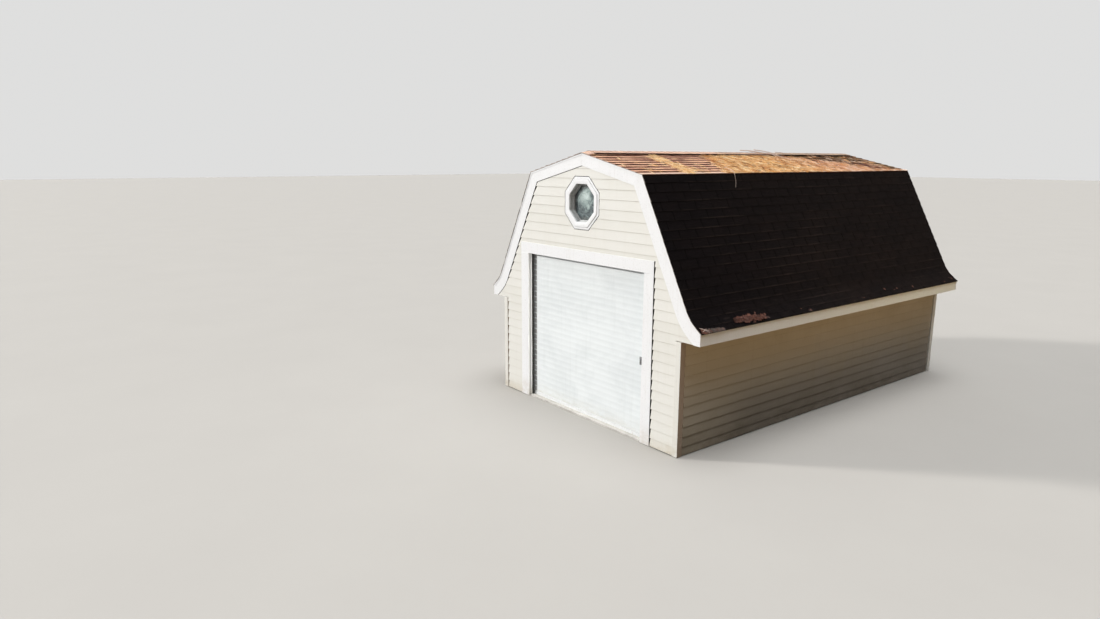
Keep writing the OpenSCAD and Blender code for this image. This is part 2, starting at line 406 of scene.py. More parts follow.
def siding_material(name, light, dark, dirt, cloudy, streaks, line, grime, grime_to, foot_shade=None):
    """Matt lapped siding: embossed grain along the courses, faint streaks, painted shade in the laps under each butt,
    splashes low down.

    The last argument is painted shade: it darkens the lower courses evenly, less so near the front corner.
    """
    g = Nodes(name)
    tone = g.attr("tone")
    z = g.axis(2)
    fine = g.noise(g.scaled(6, 6, 260), 1.0, 4, 0.6)
    cloud = g.noise(g.co, 1.3, 5, 0.6, 0.4)
    drips = g.noise(g.scaled(19, 19, 0.8), 1.0, 4, 0.6)
    base = g.mix(g.span(tone, 0, 1), dark, light)
    base = g.mix(g.span(cloud, 0.35, 0.72, 0, cloudy, True), base, g.mix(1.0, base, dirt, "MULTIPLY"))
    base = g.mix(g.span(drips, 0.5, 0.78, 0, streaks, True), base, g.mix(1.0, base, (0.78, 0.73, 0.64), "MULTIPLY"))
    base = g.mix(g.span(fine, 0.3, 0.7, 0, 0.06), base, g.mix(1.0, base, (0.78, 0.75, 0.70), "MULTIPLY"))
    splash = g.math("MULTIPLY", g.span(z, 0.0, grime_to, 1.0, 0.0, True), g.span(g.noise(g.scaled(5, 5, 9), 1.0, 5, 0.65), 0.3, 0.7, 0.2, 1.0))
    base = g.mix(splash, base, g.mix(1.0, base, grime, "MULTIPLY"))
    if foot_shade:
        # painted shade over the lower courses
        up = g.math("ADD", z, g.math("MULTIPLY", g.span(cloud, 0.3, 0.7), 0.16))
        where = g.math("MULTIPLY", g.span(up, 0.45, 1.28, 1.0, 0.0, True), g.span(g.axis(1), -3.1, -1.5, 0.62, 1.0, True))
        base = g.mix(where, base, g.mix(1.0, base, foot_shade, "MULTIPLY"))
    specks = g.span(g.noise(g.co, 160, 2, 0.6), 0.72, 0.80, 0, 0.4)
    base = g.mix(specks, base, g.mix(1.0, base, (0.35, 0.30, 0.24), "MULTIPLY"))
    # painted shade: the line colour darkens the top of each course, under the butt above
    lap_shade = g.math("MULTIPLY", g.attr("wear"), g.span(g.noise(g.scaled(7, 7, 3), 1.0, 4, 0.6), 0.3, 0.65, 0.35, 1.0))
    base = g.mix(lap_shade, base, g.mix(1.0, base, line, "MULTIPLY"))
    rough = g.span(g.math("ADD", cloud, g.math("MULTIPLY", fine, 0.4)), 0.4, 1.0, 0.44, 0.66)
    wave = g.bump(g.noise(g.scaled(1.6, 1.6, 9), 1.0, 2, 0.5), 0.25, 0.005)
    return g.done(base, rough, g.bump(fine, 0.35, 0.0006, wave), Specular_IOR_Level=0.3)


def paint_material(name, light, dark, dirt, streak=0.18, rough=(0.40, 0.6), low=0.35, shade=None, rear_warm_light=None):
    """White painted boards: brush marks, faint streaks, dirt towards the ground, chipped spots on worn edges.

    shade is painted shade: it darkens the faces that look towards +X, fading out towards the rear.
    """
    g = Nodes(name)
    tone = g.attr("tone")
    z = g.axis(2)
    cloud = g.noise(g.co, 2.2, 5, 0.62, 0.4)
    drips = g.noise(g.scaled(30, 30, 1.4), 1.0, 4, 0.6)
    fine = g.noise(g.co, 210, 3, 0.6)
    base = g.mix(g.span(tone, 0, 1), dark, light)
    if shade:
        # painted shade on the faces towards +X
        shaded_side = g.math("MULTIPLY", g.span(g.facing(0), 0.5, 0.9), g.span(g.axis(1), -1.0, 2.5, 1.0, 0.0))
        base = g.mix(shaded_side, base, g.mix(1.0, base, shade, "MULTIPLY"))
    if rear_warm_light:
        # painted light and shade: greyer and darker at the front end of the eave, warmer and lighter towards the rear
        base = g.mix(g.span(g.axis(1), -3.1, 2.0, 1.0, 0.0, True), g.mix(1.0, base, rear_warm_light, "MULTIPLY"), g.mix(1.0, base, (0.80, 0.815, 0.86), "MULTIPLY"))
    base = g.mix(g.span(cloud, 0.42, 0.72, 0, 0.4, True), base, g.mix(1.0, base, dirt, "MULTIPLY"))
    base = g.mix(g.span(drips, 0.52, 0.76, 0, streak, True), base, g.mix(1.0, base, (0.74, 0.70, 0.62), "MULTIPLY"))
    splash = g.math("MULTIPLY", g.span(z, 0.0, low, 1.0, 0.0, True), g.span(g.noise(g.scaled(8, 8, 12), 1.0, 5, 0.65), 0.35, 0.7, 0.05, 0.75))
    base = g.mix(splash, base, g.mix(1.0, base, (0.66, 0.58, 0.46), "MULTIPLY"))
    chips = g.math("MULTIPLY", g.attr("wear"), g.span(g.noise(g.co, 55, 5, 0.7), 0.58, 0.63, 0, 0.8))
    base = g.mix(chips, base, (0.40, 0.37, 0.33))
    specks = g.span(g.noise(g.co, 120, 2, 0.6), 0.72, 0.80, 0, 0.35)
    base = g.mix(specks, base, g.mix(1.0, base, (0.35, 0.31, 0.25), "MULTIPLY"))
    # painted shade: where under is set, on the dark felt strips in the open joints, the paint goes near-black
    base = g.mix(g.attr("under"), base, (0.020, 0.017, 0.014))
    r = g.span(g.math("ADD", cloud, g.math("MULTIPLY", fine, 0.3)), 0.4, 1.0, *rough)
    wave = g.bump(g.noise(g.co, 9, 3, 0.55), 0.2, 0.003)
    return g.done(base, r, g.bump(fine, 0.25, 0.0005, wave), Specular_IOR_Level=0.4)


def shingle_material(name, dust_and_sheen):
    """Granule-faced asphalt. Granules are cells of about 2 mm in mixed browns; some of the butts are a little paler."""
    g = Nodes(name)
    tone, wear, under = g.attr("tone"), g.attr("wear"), g.attr("under")
    grit = g.cells(g.co, 520, "Color")
    sep = g.t.nodes.new("ShaderNodeSeparateColor")
    g.t.links.new(grit, sep.inputs[0])
    pick = sep.outputs[0]
    dark = g.ramp(pick, (0.0, (0.0018, 0.0015, 0.0016)), (0.45, (0.0054, 0.0041, 0.0041)), (0.75, (0.0104, 0.0079, 0.0073)),
                  (0.92, (0.024, 0.018, 0.016)), (1.0, (0.050, 0.040, 0.038)))
    blend = g.noise(g.scaled(1.2, 1.2, 3.0), 1.0, 5, 0.6, 0.5)
    base = g.mix(g.span(tone, 0, 1), g.mix(1.0, dark, (0.94, 0.94, 0.95), "MULTIPLY"),
                 g.mix(1.0, dark, (1.08, 1.05, 1.02), "MULTIPLY"))
    base = g.mix(g.span(blend, 0.35, 0.7, 0, 0.6, True), base, g.mix(1.0, base, (1.45, 1.30, 1.18), "MULTIPLY"))
    # damp and shaded towards the front, drier and browner towards the rear
    base = g.mix(g.span(g.axis(1), -3.0, 0.2, 1.0, 0.0, True), base, g.mix(1.0, base, (0.60, 0.63, 0.72), "MULTIPLY"))
    # paler in patches along some of the butts
    seam = g.noise(g.scaled(9, 5, 40), 1.0, 4, 0.65)
    where_seam = g.span(g.noise(g.scaled(1.4, 0.8, 2.2, (0, 0, 0), (3.1, 0, 0)), 1.0, 4, 0.6), 0.40, 0.62, 0.05, 1.0, True)
    fade = g.math("MULTIPLY", g.math("MULTIPLY", wear, where_seam), g.span(seam, 0.36, 0.64, 0.12, 1.0))
    base = g.mix(g.math("MULTIPLY", fade, 0.55), base, (0.062, 0.044, 0.035))
    dots = g.span(g.noise(g.co, 64, 3, 0.7), 0.70, 0.76, 0, 0.45)
    base = g.mix(dots, base, (0.055, 0.041, 0.034))
    stone = g.span(g.cells(g.co, 520, "Distance"), 0.0, 0.6, 1.0, 0.0)
    if dust_and_sheen:
        # the flatter slopes are sun-bleached and hold rotted needles and their dust; their pinks are painted lighter
        # still, a painted sheen of low sun
        mauve = g.ramp(pick, (0.0, (0.25, 0.098, 0.066)), (0.5, (0.41, 0.180, 0.112)), (0.85, (0.55, 0.272, 0.183)), (1.0, (0.73, 0.455, 0.345)))
        peach = g.ramp(pick, (0.0, (0.57, 0.270, 0.155)), (0.5, (0.80, 0.435, 0.262)), (0.85, (0.89, 0.545, 0.36)), (1.0, (0.95, 0.71, 0.54)))
        ripple = g.noise(g.scaled(7, 1.4, 7), 1.0, 5, 0.7, 0.8)
        pick2 = g.math("ADD", g.math("MULTIPLY", tone, 0.35), g.span(ripple, 0.36, 0.62, 0.0, 0.85))
        pink = g.mix(g.span(pick2, 0.38, 0.90, 0, 1, True), mauve, peach)
        patch = g.span(g.noise(g.scaled(1.6, 5.0, 1.6), 1.0, 5, 0.62), 0.28, 0.58, 0.82, 1.0, True)
        base = g.mix(patch, base, pink)
        blot = g.noise(g.scaled(3.0, 9.0, 3.0, (0, 0, 0), (0, 2.2, 0)), 1.0, 5, 0.72, 1.0)
        base = g.mix(g.math("MULTIPLY", g.span(blot, 0.50, 0.60, 0, 0.92, True), g.span(g.axis(1), -0.6, 0.9, 0.28, 1.0)), base, g.mix(1.0, base, (0.34, 0.18, 0.145), "MULTIPLY"))
        thread = g.noise(g.strands(7, 46, 0.54), 1.0, 5, 0.66, 0.7)
        thread2 = g.noise(g.strands(11, 64, 0.85), 1.0, 5, 0.66, 0.7)
        lit = g.math("MAXIMUM", g.span(thread, 0.51, 0.60), g.span(thread2, 0.56, 0.64))
        zone = g.noise(g.scaled(1.6, 2.6, 1.6), 1.0, 4, 0.6, 0.8)
        x, y = g.math("ABSOLUTE", g.axis(0)), g.axis(1)
        back = g.span(g.math("ADD", y, g.math("MULTIPLY", x, 0.55)), -0.95, -0.45, 0.0, 0.56, True)
        where = g.math("MULTIPLY", g.span(g.math("ADD", zone, back), 0.92, 1.05, 0.0, 0.90, True), g.span(y, 0.1, 1.2, 1.0, 0.26))
        straw = g.mix(g.noise(g.co, 30, 3, 0.6), (0.56, 0.235, 0.085), (0.95, 0.57, 0.215))
        # painted shade: between the needle threads the shingles are darkened, as shade between the needles
        gap_shade = g.mix(1.0, base, (0.17, 0.075, 0.05), "MULTIPLY")
        base = g.mix(where, base, g.mix(lit, gap_shade, straw))
        # darker near the ridge at the rear, moss together with painted shadow of trees; a bare dark spot over the knee,
        # another beside the drift
        moss_and_shade = g.math("MULTIPLY", g.span(g.math("SUBTRACT", y, g.math("MULTIPLY", x, 2.2)), -0.2, 1.15, 0.0, 0.96, True), g.span(blot, 0.34, 0.50, 0.45, 1.0))
        base = g.mix(moss_and_shade, base, g.mix(g.span(zone, 0.35, 0.65), (0.050, 0.022, 0.012), (0.15, 0.10, 0.034)))
        spot = g.math("MULTIPLY", g.math("MULTIPLY", g.span(y, 2.15, 2.35, 0, 1, True), g.span(y, 2.62, 2.85, 1, 0, True)), g.span(g.axis(0), 0.52, 0.74, 0, 1, True))
        gap_s = g.math("MULTIPLY", g.math("MULTIPLY", g.span(y, -2.02, -1.90, 0, 1, True), g.span(y, -1.74, -1.60, 1, 0, True)),
                       g.math("MULTIPLY", g.span(g.axis(0), 0.34, 0.46, 0, 1, True), g.span(g.axis(0), 0.62, 0.78, 1, 0, True)))
        bare = g.math("MULTIPLY", g.math("MAXIMUM", spot, g.math("MULTIPLY", gap_s, 0.45)), g.span(blot, 0.30, 0.50, 0.45, 1.0))
        base = g.mix(bare, base, (0.10, 0.028, 0.022))
        # painted shade: dark where under is set, in the bands under the butts, on the butts' faces, in the slots and
        # under the caps
        base = g.mix(g.math("MULTIPLY", under, 0.94), base, (0.085, 0.026, 0.015))
        # the last course over the knee is worn pale
        base = g.mix(g.math("MULTIPLY", wear, g.span(seam, 0.25, 0.55, 0.55, 0.95)), base, (0.66, 0.50, 0.40))
    else:
        # painted shade in the slots
        base = g.mix(g.math("MULTIPLY", under, 0.45), base, (0.004, 0.0035, 0.003))
    # the cut ends over the gables take the sun
    ends = g.math("MULTIPLY", g.span(g.math("ABSOLUTE", g.facing(1)), 0.7, 0.95), g.math("GREATER_THAN", g.math("ABSOLUTE", g.axis(1)), 3.13))
    base = g.mix(g.math("MULTIPLY", ends, 0.85), base, g.mix(pick, (0.55, 0.49, 0.44), (0.70, 0.64, 0.58)))
    rough = g.span(pick, 0, 1, 0.78, 0.96)
    lumps = g.bump(g.noise(g.co, 70, 3, 0.6), 0.35, 0.0022)
    return g.done(base, rough, g.bump(stone, 0.8, 0.0011, lumps), Specular_IOR_Level=0.20 if dust_and_sheen else 0.03)


def concrete_material(name, k):
    """Rough weathered concrete; k sets how pale it is."""
    g = Nodes(name)
    cloud = g.noise(g.co, 5, 6, 0.65)
    pores = g.cells(g.co, 180)
    base = g.ramp(cloud, (0.25, (0.36 * k, 0.345 * k, 0.315 * k)), (0.5, (0.54 * k, 0.52 * k, 0.485 * k)), (0.75, (0.66 * k, 0.64 * k, 0.60 * k)))
    base = g.mix(g.span(pores, 0.0, 0.16, 0.5, 0.0), base, (0.16, 0.15, 0.14))
    damp = g.math("MULTIPLY", g.span(g.axis(2), 0.0, 0.06, 1, 0), 0.4)
    base = g.mix(damp, base, (0.22, 0.19, 0.15))
    return g.done(base, g.span(cloud, 0.2, 0.8, 0.8, 0.96), g.bump(g.math("ADD", cloud, pores), 0.5, 0.002))


def wood_material(name, light, dark, scale=(3, 3, 40)):
    """Bare framing timber and sheathing, with dark grain."""
    g = Nodes(name)
    rings = g.noise(g.scaled(*scale), 1.0, 5, 0.6, 1.2)
    fibre = g.noise(g.scaled(scale[0] * 6, scale[1] * 6, scale[2] * 6), 1.0, 3, 0.6)
    base = g.ramp(rings, (0.25, dark), (0.5, tuple((a + b) / 2 for a, b in zip(dark, light))), (0.72, light))
    base = g.mix(g.span(fibre, 0.5, 0.75, 0, 0.5), base, g.mix(1.0, base, (0.5, 0.45, 0.4), "MULTIPLY"))
    base = g.mix(g.span(g.noise(g.co, 1.3, 4, 0.6), 0.5, 0.75, 0, 0.6), base, g.mix(1.0, base, (0.55, 0.5, 0.45), "MULTIPLY"))
    return g.done(base, g.span(fibre, 0.2, 0.8, 0.62, 0.9), g.bump(g.math("ADD", rings, fibre), 0.4, 0.0015))


def paper_material():
    """Walls: framing timber inside, dark building paper on the faces under the siding."""
    g = Nodes("framing")
    rings = g.noise(g.scaled(22, 22, 2.5), 1.0, 5, 0.6, 1.2)
    wood = g.ramp(rings, (0.25, (0.10, 0.065, 0.04)), (0.5, (0.24, 0.165, 0.10)), (0.72, (0.36, 0.26, 0.16)))
    wrinkle = g.noise(g.scaled(3, 3, 6), 1.0, 6, 0.7, 1.5)
    paper = g.ramp(wrinkle, (0.3, (0.006, 0.0055, 0.005)), (0.7, (0.018, 0.016, 0.014)))
    x = g.math("ABSOLUTE", g.axis(0))
    y = g.math("ABSOLUTE", g.axis(1))
    outside = g.math("MAXIMUM", g.math("GREATER_THAN", x, 1.7985), g.math("GREATER_THAN", y, 3.0985))
    base = g.mix(outside, wood, paper)
    return g.done(base, g.span(wrinkle, 0.3, 0.7, 0.7, 0.92), g.bump(g.math("ADD", wrinkle, rings), 0.3, 0.002))


def enamel_material():
    """The door's ribbed sheet: cool white baked enamel, rubbed and streaked, grimy low down."""
    g = Nodes("curtain")
    z = g.axis(2)
    cloud = g.noise(g.scaled(1.4, 1.4, 2.2), 1.0, 5, 0.62, 0.6)
    drips = g.noise(g.scaled(20, 20, 0.9), 1.0, 5, 0.62)
    fine = g.noise(g.scaled(90, 90, 240), 1.0, 3, 0.6)
    base = g.mix(g.span(cloud, 0.35, 0.68, 0, 1, True), (0.84, 0.868, 0.866), (0.765, 0.795, 0.795))
    base = g.mix(g.span(drips, 0.5, 0.74, 0, 0.16, True), base, g.mix(1.0, base, (0.74, 0.75, 0.73), "MULTIPLY"))
    rim = g.math("MULTIPLY", g.attr("wear"), g.span(g.noise(g.scaled(5, 5, 60), 1.0, 4, 0.65), 0.46, 0.68, 0.0, 0.5))
    base = g.mix(g.math("MULTIPLY", rim, 0.3), base, (0.56, 0.56, 0.53))
    splash = g.math("MULTIPLY", g.span(z, 0.02, 0.30, 1.0, 0.0, True), g.span(g.noise(g.scaled(6, 6, 14), 1.0, 5, 0.65), 0.35, 0.7, 0.05, 0.6))
    base = g.mix(splash, base, g.mix(1.0, base, (0.72, 0.66, 0.56), "MULTIPLY"))
    scuff = g.span(g.noise(g.scaled(3, 3, 30, (0, 0.5, 0)), 1.0, 6, 0.75), 0.68, 0.76, 0, 0.25)
    base = g.mix(scuff, base, (0.46, 0.48, 0.49))
    rough = g.span(g.math("ADD", cloud, g.math("MULTIPLY", fine, 0.3)), 0.4, 1.0, 0.34, 0.54)
    dents = g.bump(g.noise(g.scaled(2.2, 2.2, 5), 1.0, 3, 0.5), 0.2, 0.006)
    return g.done(base, rough, g.bump(fine, 0.12, 0.0004, dents), Specular_IOR_Level=0.4)


def steel_material(name, light, dark, rust, metal, amount):
    g = Nodes(name)
    cloud = g.noise(g.co, 14, 6, 0.65, 0.4)
    fine = g.noise(g.scaled(240, 240, 60), 1.0, 3, 0.6)
    base = g.mix(g.span(cloud, 0.3, 0.7), dark, light)
    base = g.mix(g.span(fine, 0.3, 0.7, 0, 0.25), base, g.mix(1.0, base, (0.6, 0.6, 0.6), "MULTIPLY"))
    base = g.mix(g.span(g.noise(g.co, 38, 6, 0.7), 0.62 - amount, 0.72 - amount, 0, 0.9), base, rust)
    rough = g.span(cloud, 0.3, 0.7, 0.38, 0.62)
    return g.done(base, rough, g.bump(g.math("ADD", cloud, fine), 0.25, 0.0006), Metallic=metal)


def glass_material():
    """Old window glass before a dark room: a painted reflection, pale above the middle, with dust in the corners."""
    g = Nodes("glass")
    haze = g.noise(g.scaled(2.6, 2.6, 3.4), 1.0, 3, 0.55, 0.35)
    dust = g.noise(g.co, 46, 5, 0.7)
    x, z = g.axis(0), g.math("SUBTRACT", g.axis(2), 2.972)
    # painted reflection: two soft round pale patches
    def spot(cx, cz, r):
        dx, dz = g.math("SUBTRACT", x, cx), g.math("SUBTRACT", z, cz)
        d2 = g.math("ADD", g.math("MULTIPLY", dx, dx), g.math("MULTIPLY", dz, dz))
        return g.span(g.math("SQRT", d2), 0.0, r, 1.0, 0.0, True)
    painted_reflection = g.math("MAXIMUM", spot(-0.03, 0.075, 0.21), g.math("MULTIPLY", spot(0.02, -0.02, 0.15), 0.6))
    broken = g.noise(g.scaled(11, 11, 13), 1.0, 5, 0.62, 0.8)
    # painted reflection: with haze and broken noise, the patches run from the dark room's colour to a pale cyan
    v = g.math("ADD", g.math("MULTIPLY", painted_reflection, 0.50), g.math("ADD", g.math("MULTIPLY", haze, 0.30), g.span(broken, 0.32, 0.68, -0.02, 0.36)))
    rim = g.span(g.math("MAXIMUM", g.math("ABSOLUTE", x), g.math("ABSOLUTE", z)), 0.16, 0.225, 0, 1, True)
    base = g.ramp(v, (0.20, (0.040, 0.055, 0.062)), (0.38, (0.12, 0.155, 0.16)), (0.58, (0.32, 0.40, 0.385)), (0.85, (0.66, 0.76, 0.73)))
    base = g.mix(g.math("MULTIPLY", g.span(dust, 0.5, 0.72), 0.15), base, (0.40, 0.40, 0.37))
    base = g.mix(g.math("MULTIPLY", rim, g.span(dust, 0.35, 0.65, 0.15, 0.6)), base, (0.20, 0.20, 0.18))
    rough = g.math("ADD", g.span(haze, 0.35, 0.7, 0.05, 0.16), g.math("MULTIPLY", g.span(dust, 0.5, 0.75), 0.25))
    wave = g.bump(g.noise(g.co, 5, 2, 0.5), 0.10, 0.004)
    return g.done(base, rough, wave, Specular_IOR_Level=0.6)


def litter_material(name, ramp_stops, rough=(0.6, 0.85), faded=False):
    """Fallen needles, leaves and twigs: each one has its own tone. faded bleaches them towards the rear."""
    g = Nodes(name)
    tone = g.attr("tone")
    vein = g.noise(g.co, 260, 3, 0.6)
    base = g.ramp(tone, *ramp_stops)
    if faded:
        base = g.mix(g.span(g.axis(1), 0.2, 1.5, 0, 0.6), base, g.mix(1.0, base, (0.95, 0.88, 1.32), "MULTIPLY"))
    base = g.mix(g.span(vein, 0.35, 0.7, 0, 0.45), base, g.mix(1.0, base, (0.55, 0.48, 0.42), "MULTIPLY"))
    return g.done(base, g.span(vein, 0.3, 0.7, *rough), g.bump(vein, 0.3, 0.0008))


M_FRONT = siding_material("siding_front", (0.805, 0.785, 0.73), (0.775, 0.755, 0.695), (0.95, 0.935, 0.905), 0.35, 0.10,
                          (0.86, 0.82, 0.75), (0.78, 0.72, 0.62), 0.22)
# painted shade: the side and rear walls take a darker, browner copy of the front's siding
M_SIDE_SHADED = siding_material("siding_side_shaded", (0.66, 0.57, 0.43), (0.60, 0.515, 0.385), (0.80, 0.78, 0.73), 0.55, 0.22,
                         (0.22, 0.165, 0.115), (0.62, 0.58, 0.54), 0.40, (0.36, 0.365, 0.395))
M_TRIM = paint_material("trim", (0.895, 0.888, 0.885), (0.86, 0.853, 0.85), (0.93, 0.93, 0.92))
# painted light: the door jambs take a whiter copy of the trim paint, lighter as if lit across the recess
M_REVEAL_LIT = paint_material("trim_reveal_lit", (0.95, 0.955, 0.96), (0.93, 0.935, 0.94), (0.95, 0.95, 0.945), 0.1)
# painted shade: the window's white liner and sash are painted mid grey, as the shade in the window's recess
M_SASH_SHADED = paint_material("trim_window_shaded", (0.60, 0.605, 0.60), (0.56, 0.565, 0.56), (0.62, 0.62, 0.60), 0.14)
M_EAVE = paint_material("trim_eave", (0.97, 0.965, 0.93), (0.945, 0.94, 0.90), (0.94, 0.925, 0.87), 0.16, rear_warm_light=(1.0, 1.0, 0.92))
M_POST = paint_material("trim_corner", (0.79, 0.765, 0.705), (0.76, 0.735, 0.675), (0.92, 0.90, 0.85), 0.2, shade=(0.50, 0.385, 0.31))
M_LOWROOF = shingle_material("shingles", False)
M_UPROOF = shingle_material("shingles_upper", True)
M_CONCRETE = concrete_material("concrete", 1.0)
M_SILL = concrete_material("concrete_sill", 1.42)
M_PAPER = paper_material()
M_ROOFWOOD = wood_material("roof_framing", (0.40, 0.29, 0.18), (0.16, 0.10, 0.06), (30, 3, 30))
M_CURTAIN = enamel_material()
M_GUIDE = steel_material("guide", (0.040, 0.039, 0.037), (0.018, 0.018, 0.017), (0.12, 0.055, 0.025), 0.3, 0.0)
M_BAR = steel_material("bottom_bar", (0.82, 0.835, 0.835), (0.72, 0.73, 0.725), (0.42, 0.33, 0.25), 0.0, 0.02)
M_LATCH = steel_material("latch", (0.38, 0.39, 0.40), (0.20, 0.205, 0.21), (0.20, 0.11, 0.06), 0.4, 0.05)
M_LOCK = steel_material("end_lock", (0.49, 0.49, 0.485), (0.33, 0.33, 0.325), (0.28, 0.19, 0.12), 0.1, 0.03)
M_VENT = steel_material("vent", (0.050, 0.012, 0.008), (0.026, 0.007, 0.005), (0.05, 0.035, 0.025), 0.0, 0.05)
M_GLASS = glass_material()
M_NEEDLE = litter_material("needles", [(0.0, (0.22, 0.070, 0.028)), (0.3, (0.68, 0.285, 0.085)), (0.6, (0.95, 0.57, 0.205)), (1.0, (0.98, 0.81, 0.52))], faded=True)
M_LEAF = litter_material("leaves", [(0.0, (0.025, 0.010, 0.007)), (0.4, (0.085, 0.028, 0.016)), (0.7, (0.185, 0.064, 0.038)), (1.0, (0.085, 0.070, 0.060))])
M_TWIG = litter_material("twigs", [(0.0, (0.20, 0.14, 0.10)), (0.6, (0.50, 0.38, 0.31)), (1.0, (0.80, 0.65, 0.57))])

# ---------------------------------------------------------------- CAD nodes that stay
for node in ("foundation_front", "foundation_rear", "foundation_left", "foundation_right", "door_threshold"):
    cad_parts[node].data.materials.clear()
    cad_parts[node].data.materials.append(M_CONCRETE)
for node in ("wall_left", "wall_right", "wall_rear", "wall_front_left", "wall_front_right", "wall_front_gable"):
    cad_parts[node].data.materials.clear()
    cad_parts[node].data.materials.append(M_PAPER)
for node in ("roof_lower_left", "roof_lower_right", "roof_upper_left", "roof_upper_right", "eave_kick_left", "eave_kick_right"):
    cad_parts[node].data.materials.clear()
    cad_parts[node].data.materials.append(M_ROOFWOOD)
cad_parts["door_threshold"].data.materials[0] = M_SILL
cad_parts["window_glass"].data.materials.clear()
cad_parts["window_glass"].data.materials.append(M_GLASS)

# ---------------------------------------------------------------- siding
LAP = {"gable": 5.2, "side": 12.0}   # how far a course's butt stands before its top


def lap_depth(z, k, extra, lap):
    zb = BUTTS[k]
    if z < zb + 0.4:
        return 36.0 + extra
    if z < zb + 1.6:
        return 37.1 + extra
    return 37.5 - lap * (z - zb) / COURSE + extra


def laps(B, poly, place, tones, extra=lambda k: 0.0, wedges=(), lap=LAP["gable"]):
    """Lapped courses over one convex region of a wall.

    wedges are edges (a, b, c) with a*u + b*v <= c where each course is cut askew: its end is
    tight at the butt and the joint opens towards its top.
    """
    for k in range(len(BUTTS) - 1):
        zb, zt = BUTTS[k], BUTTS[k + 1]
        c = clip(clip(poly, 0, 1, zt), 0, -1, -zb)
        for a_, b_, c_, turn in wedges:
            if len(c) < 3:
                break
            u_ = (c_ - b_ * zb) / a_
            a2 = a_ * math.cos(turn) + b_ * math.sin(turn)
            b2 = b_ * math.cos(turn) - a_ * math.sin(turn)
            c = clip(c, a2, b2, a2 * u_ + b2 * zb)
        if len(c) < 3 or area(c) < 30:
            continue
        cuts = [zb + 1.0, zb + 3.0, zt - 8.0]
        ring = []
        for i in range(len(c)):
            p, q = c[i], c[(i + 1) % len(c)]
            ring.append(p)
            ts = sorted((z - p[1]) / (q[1] - p[1]) for z in cuts if abs(q[1] - p[1]) > 1e-6 and 1e-4 < (z - p[1]) / (q[1] - p[1]) < 1 - 1e-4)
            ring += [(p[0] + t * (q[0] - p[0]), p[1] + t * (q[1] - p[1])) for t in ts]
        e = extra(k)
        index = {(round(p[0], 2), round(p[1], 2)): i for i, p in enumerate(ring)}
        m = len(ring)
        verts = [place(p[0], p[1], lap_depth(p[1], k, e, lap)) for p in ring] + [place(p[0], p[1], 0.0) for p in ring]
        # painted shade: marks the top of each course, under the next butt, and faintly its own butt
        wear = [0.9 if p[1] > zt - 0.5 else (0.35 if p[1] < zb + 0.5 else 0.0) for p in ring]
        faces = [tuple(range(m, 2 * m))]
        for lo, hi in ((zb, cuts[0]), (cuts[0], cuts[1]), (cuts[1], cuts[2]), (cuts[2], zt)):
            s = clip(clip(c, 0, 1, hi), 0, -1, -lo)
            if len(s) < 3:
                continue
            # the vertices of the ring that lie in this strip, in the ring's order
            f = [i for i, p in enumerate(ring) if lo - 0.01 <= p[1] <= hi + 0.01]
            if len(f) >= 3:
                faces.append(tuple(f))
        for i in range(m):
            j = (i + 1) % m
            faces.append((i, j, m + j, m + i))
        B.add(verts, faces, tones(k), wear + [0.0] * m)


def course_tones(seed, spread=0.5):
    r = random.Random(seed)
    t = [0.5 + spread * (r.random() - 0.5) * 2 for _ in range(40)]
    return lambda k: t[(k + 1) // 2]


A_UP = ridge_at(-155.0)
KNEE_IN = cross_point(P_KNEE - 155.0 * N_UP, D_UP, P_KNEE - 176.0 * N_LOW, D_LOW)
GAP, TIGHT = 7.5, 1.5              # open and close joints between the ends of the courses and the trim
CASING_R = 1364.5                  # outer edge of the right casing
SKEW = 0.13                        # how far the ends are cut askew, rad


def under_rakes(poly, gap_right=TIGHT, gap_left=GAP):
    """Keeps a wall region below both upper rakes' and both lower rakes' inner edges."""
    for s, gap in ((1, gap_right), (-1, gap_left)):
        p = P_RIDGE - (155.0 + gap) * N_UP
        poly = clip(poly, s * N_UP[0], N_UP[1], N_UP @ p)
        p = P_KNEE - (176.0 + gap) * N_LOW
        poly = clip(poly, s * N_LOW[0], N_LOW[1], N_LOW @ p)
    return poly


def skew_edges():
    """The left rake's inner edge, where the courses end askew."""
    p = P_KNEE - (176.0 + GAP) * N_LOW
    return [(-float(N_LOW[0]), float(N_LOW[1]), float(N_LOW @ p), SKEW)]


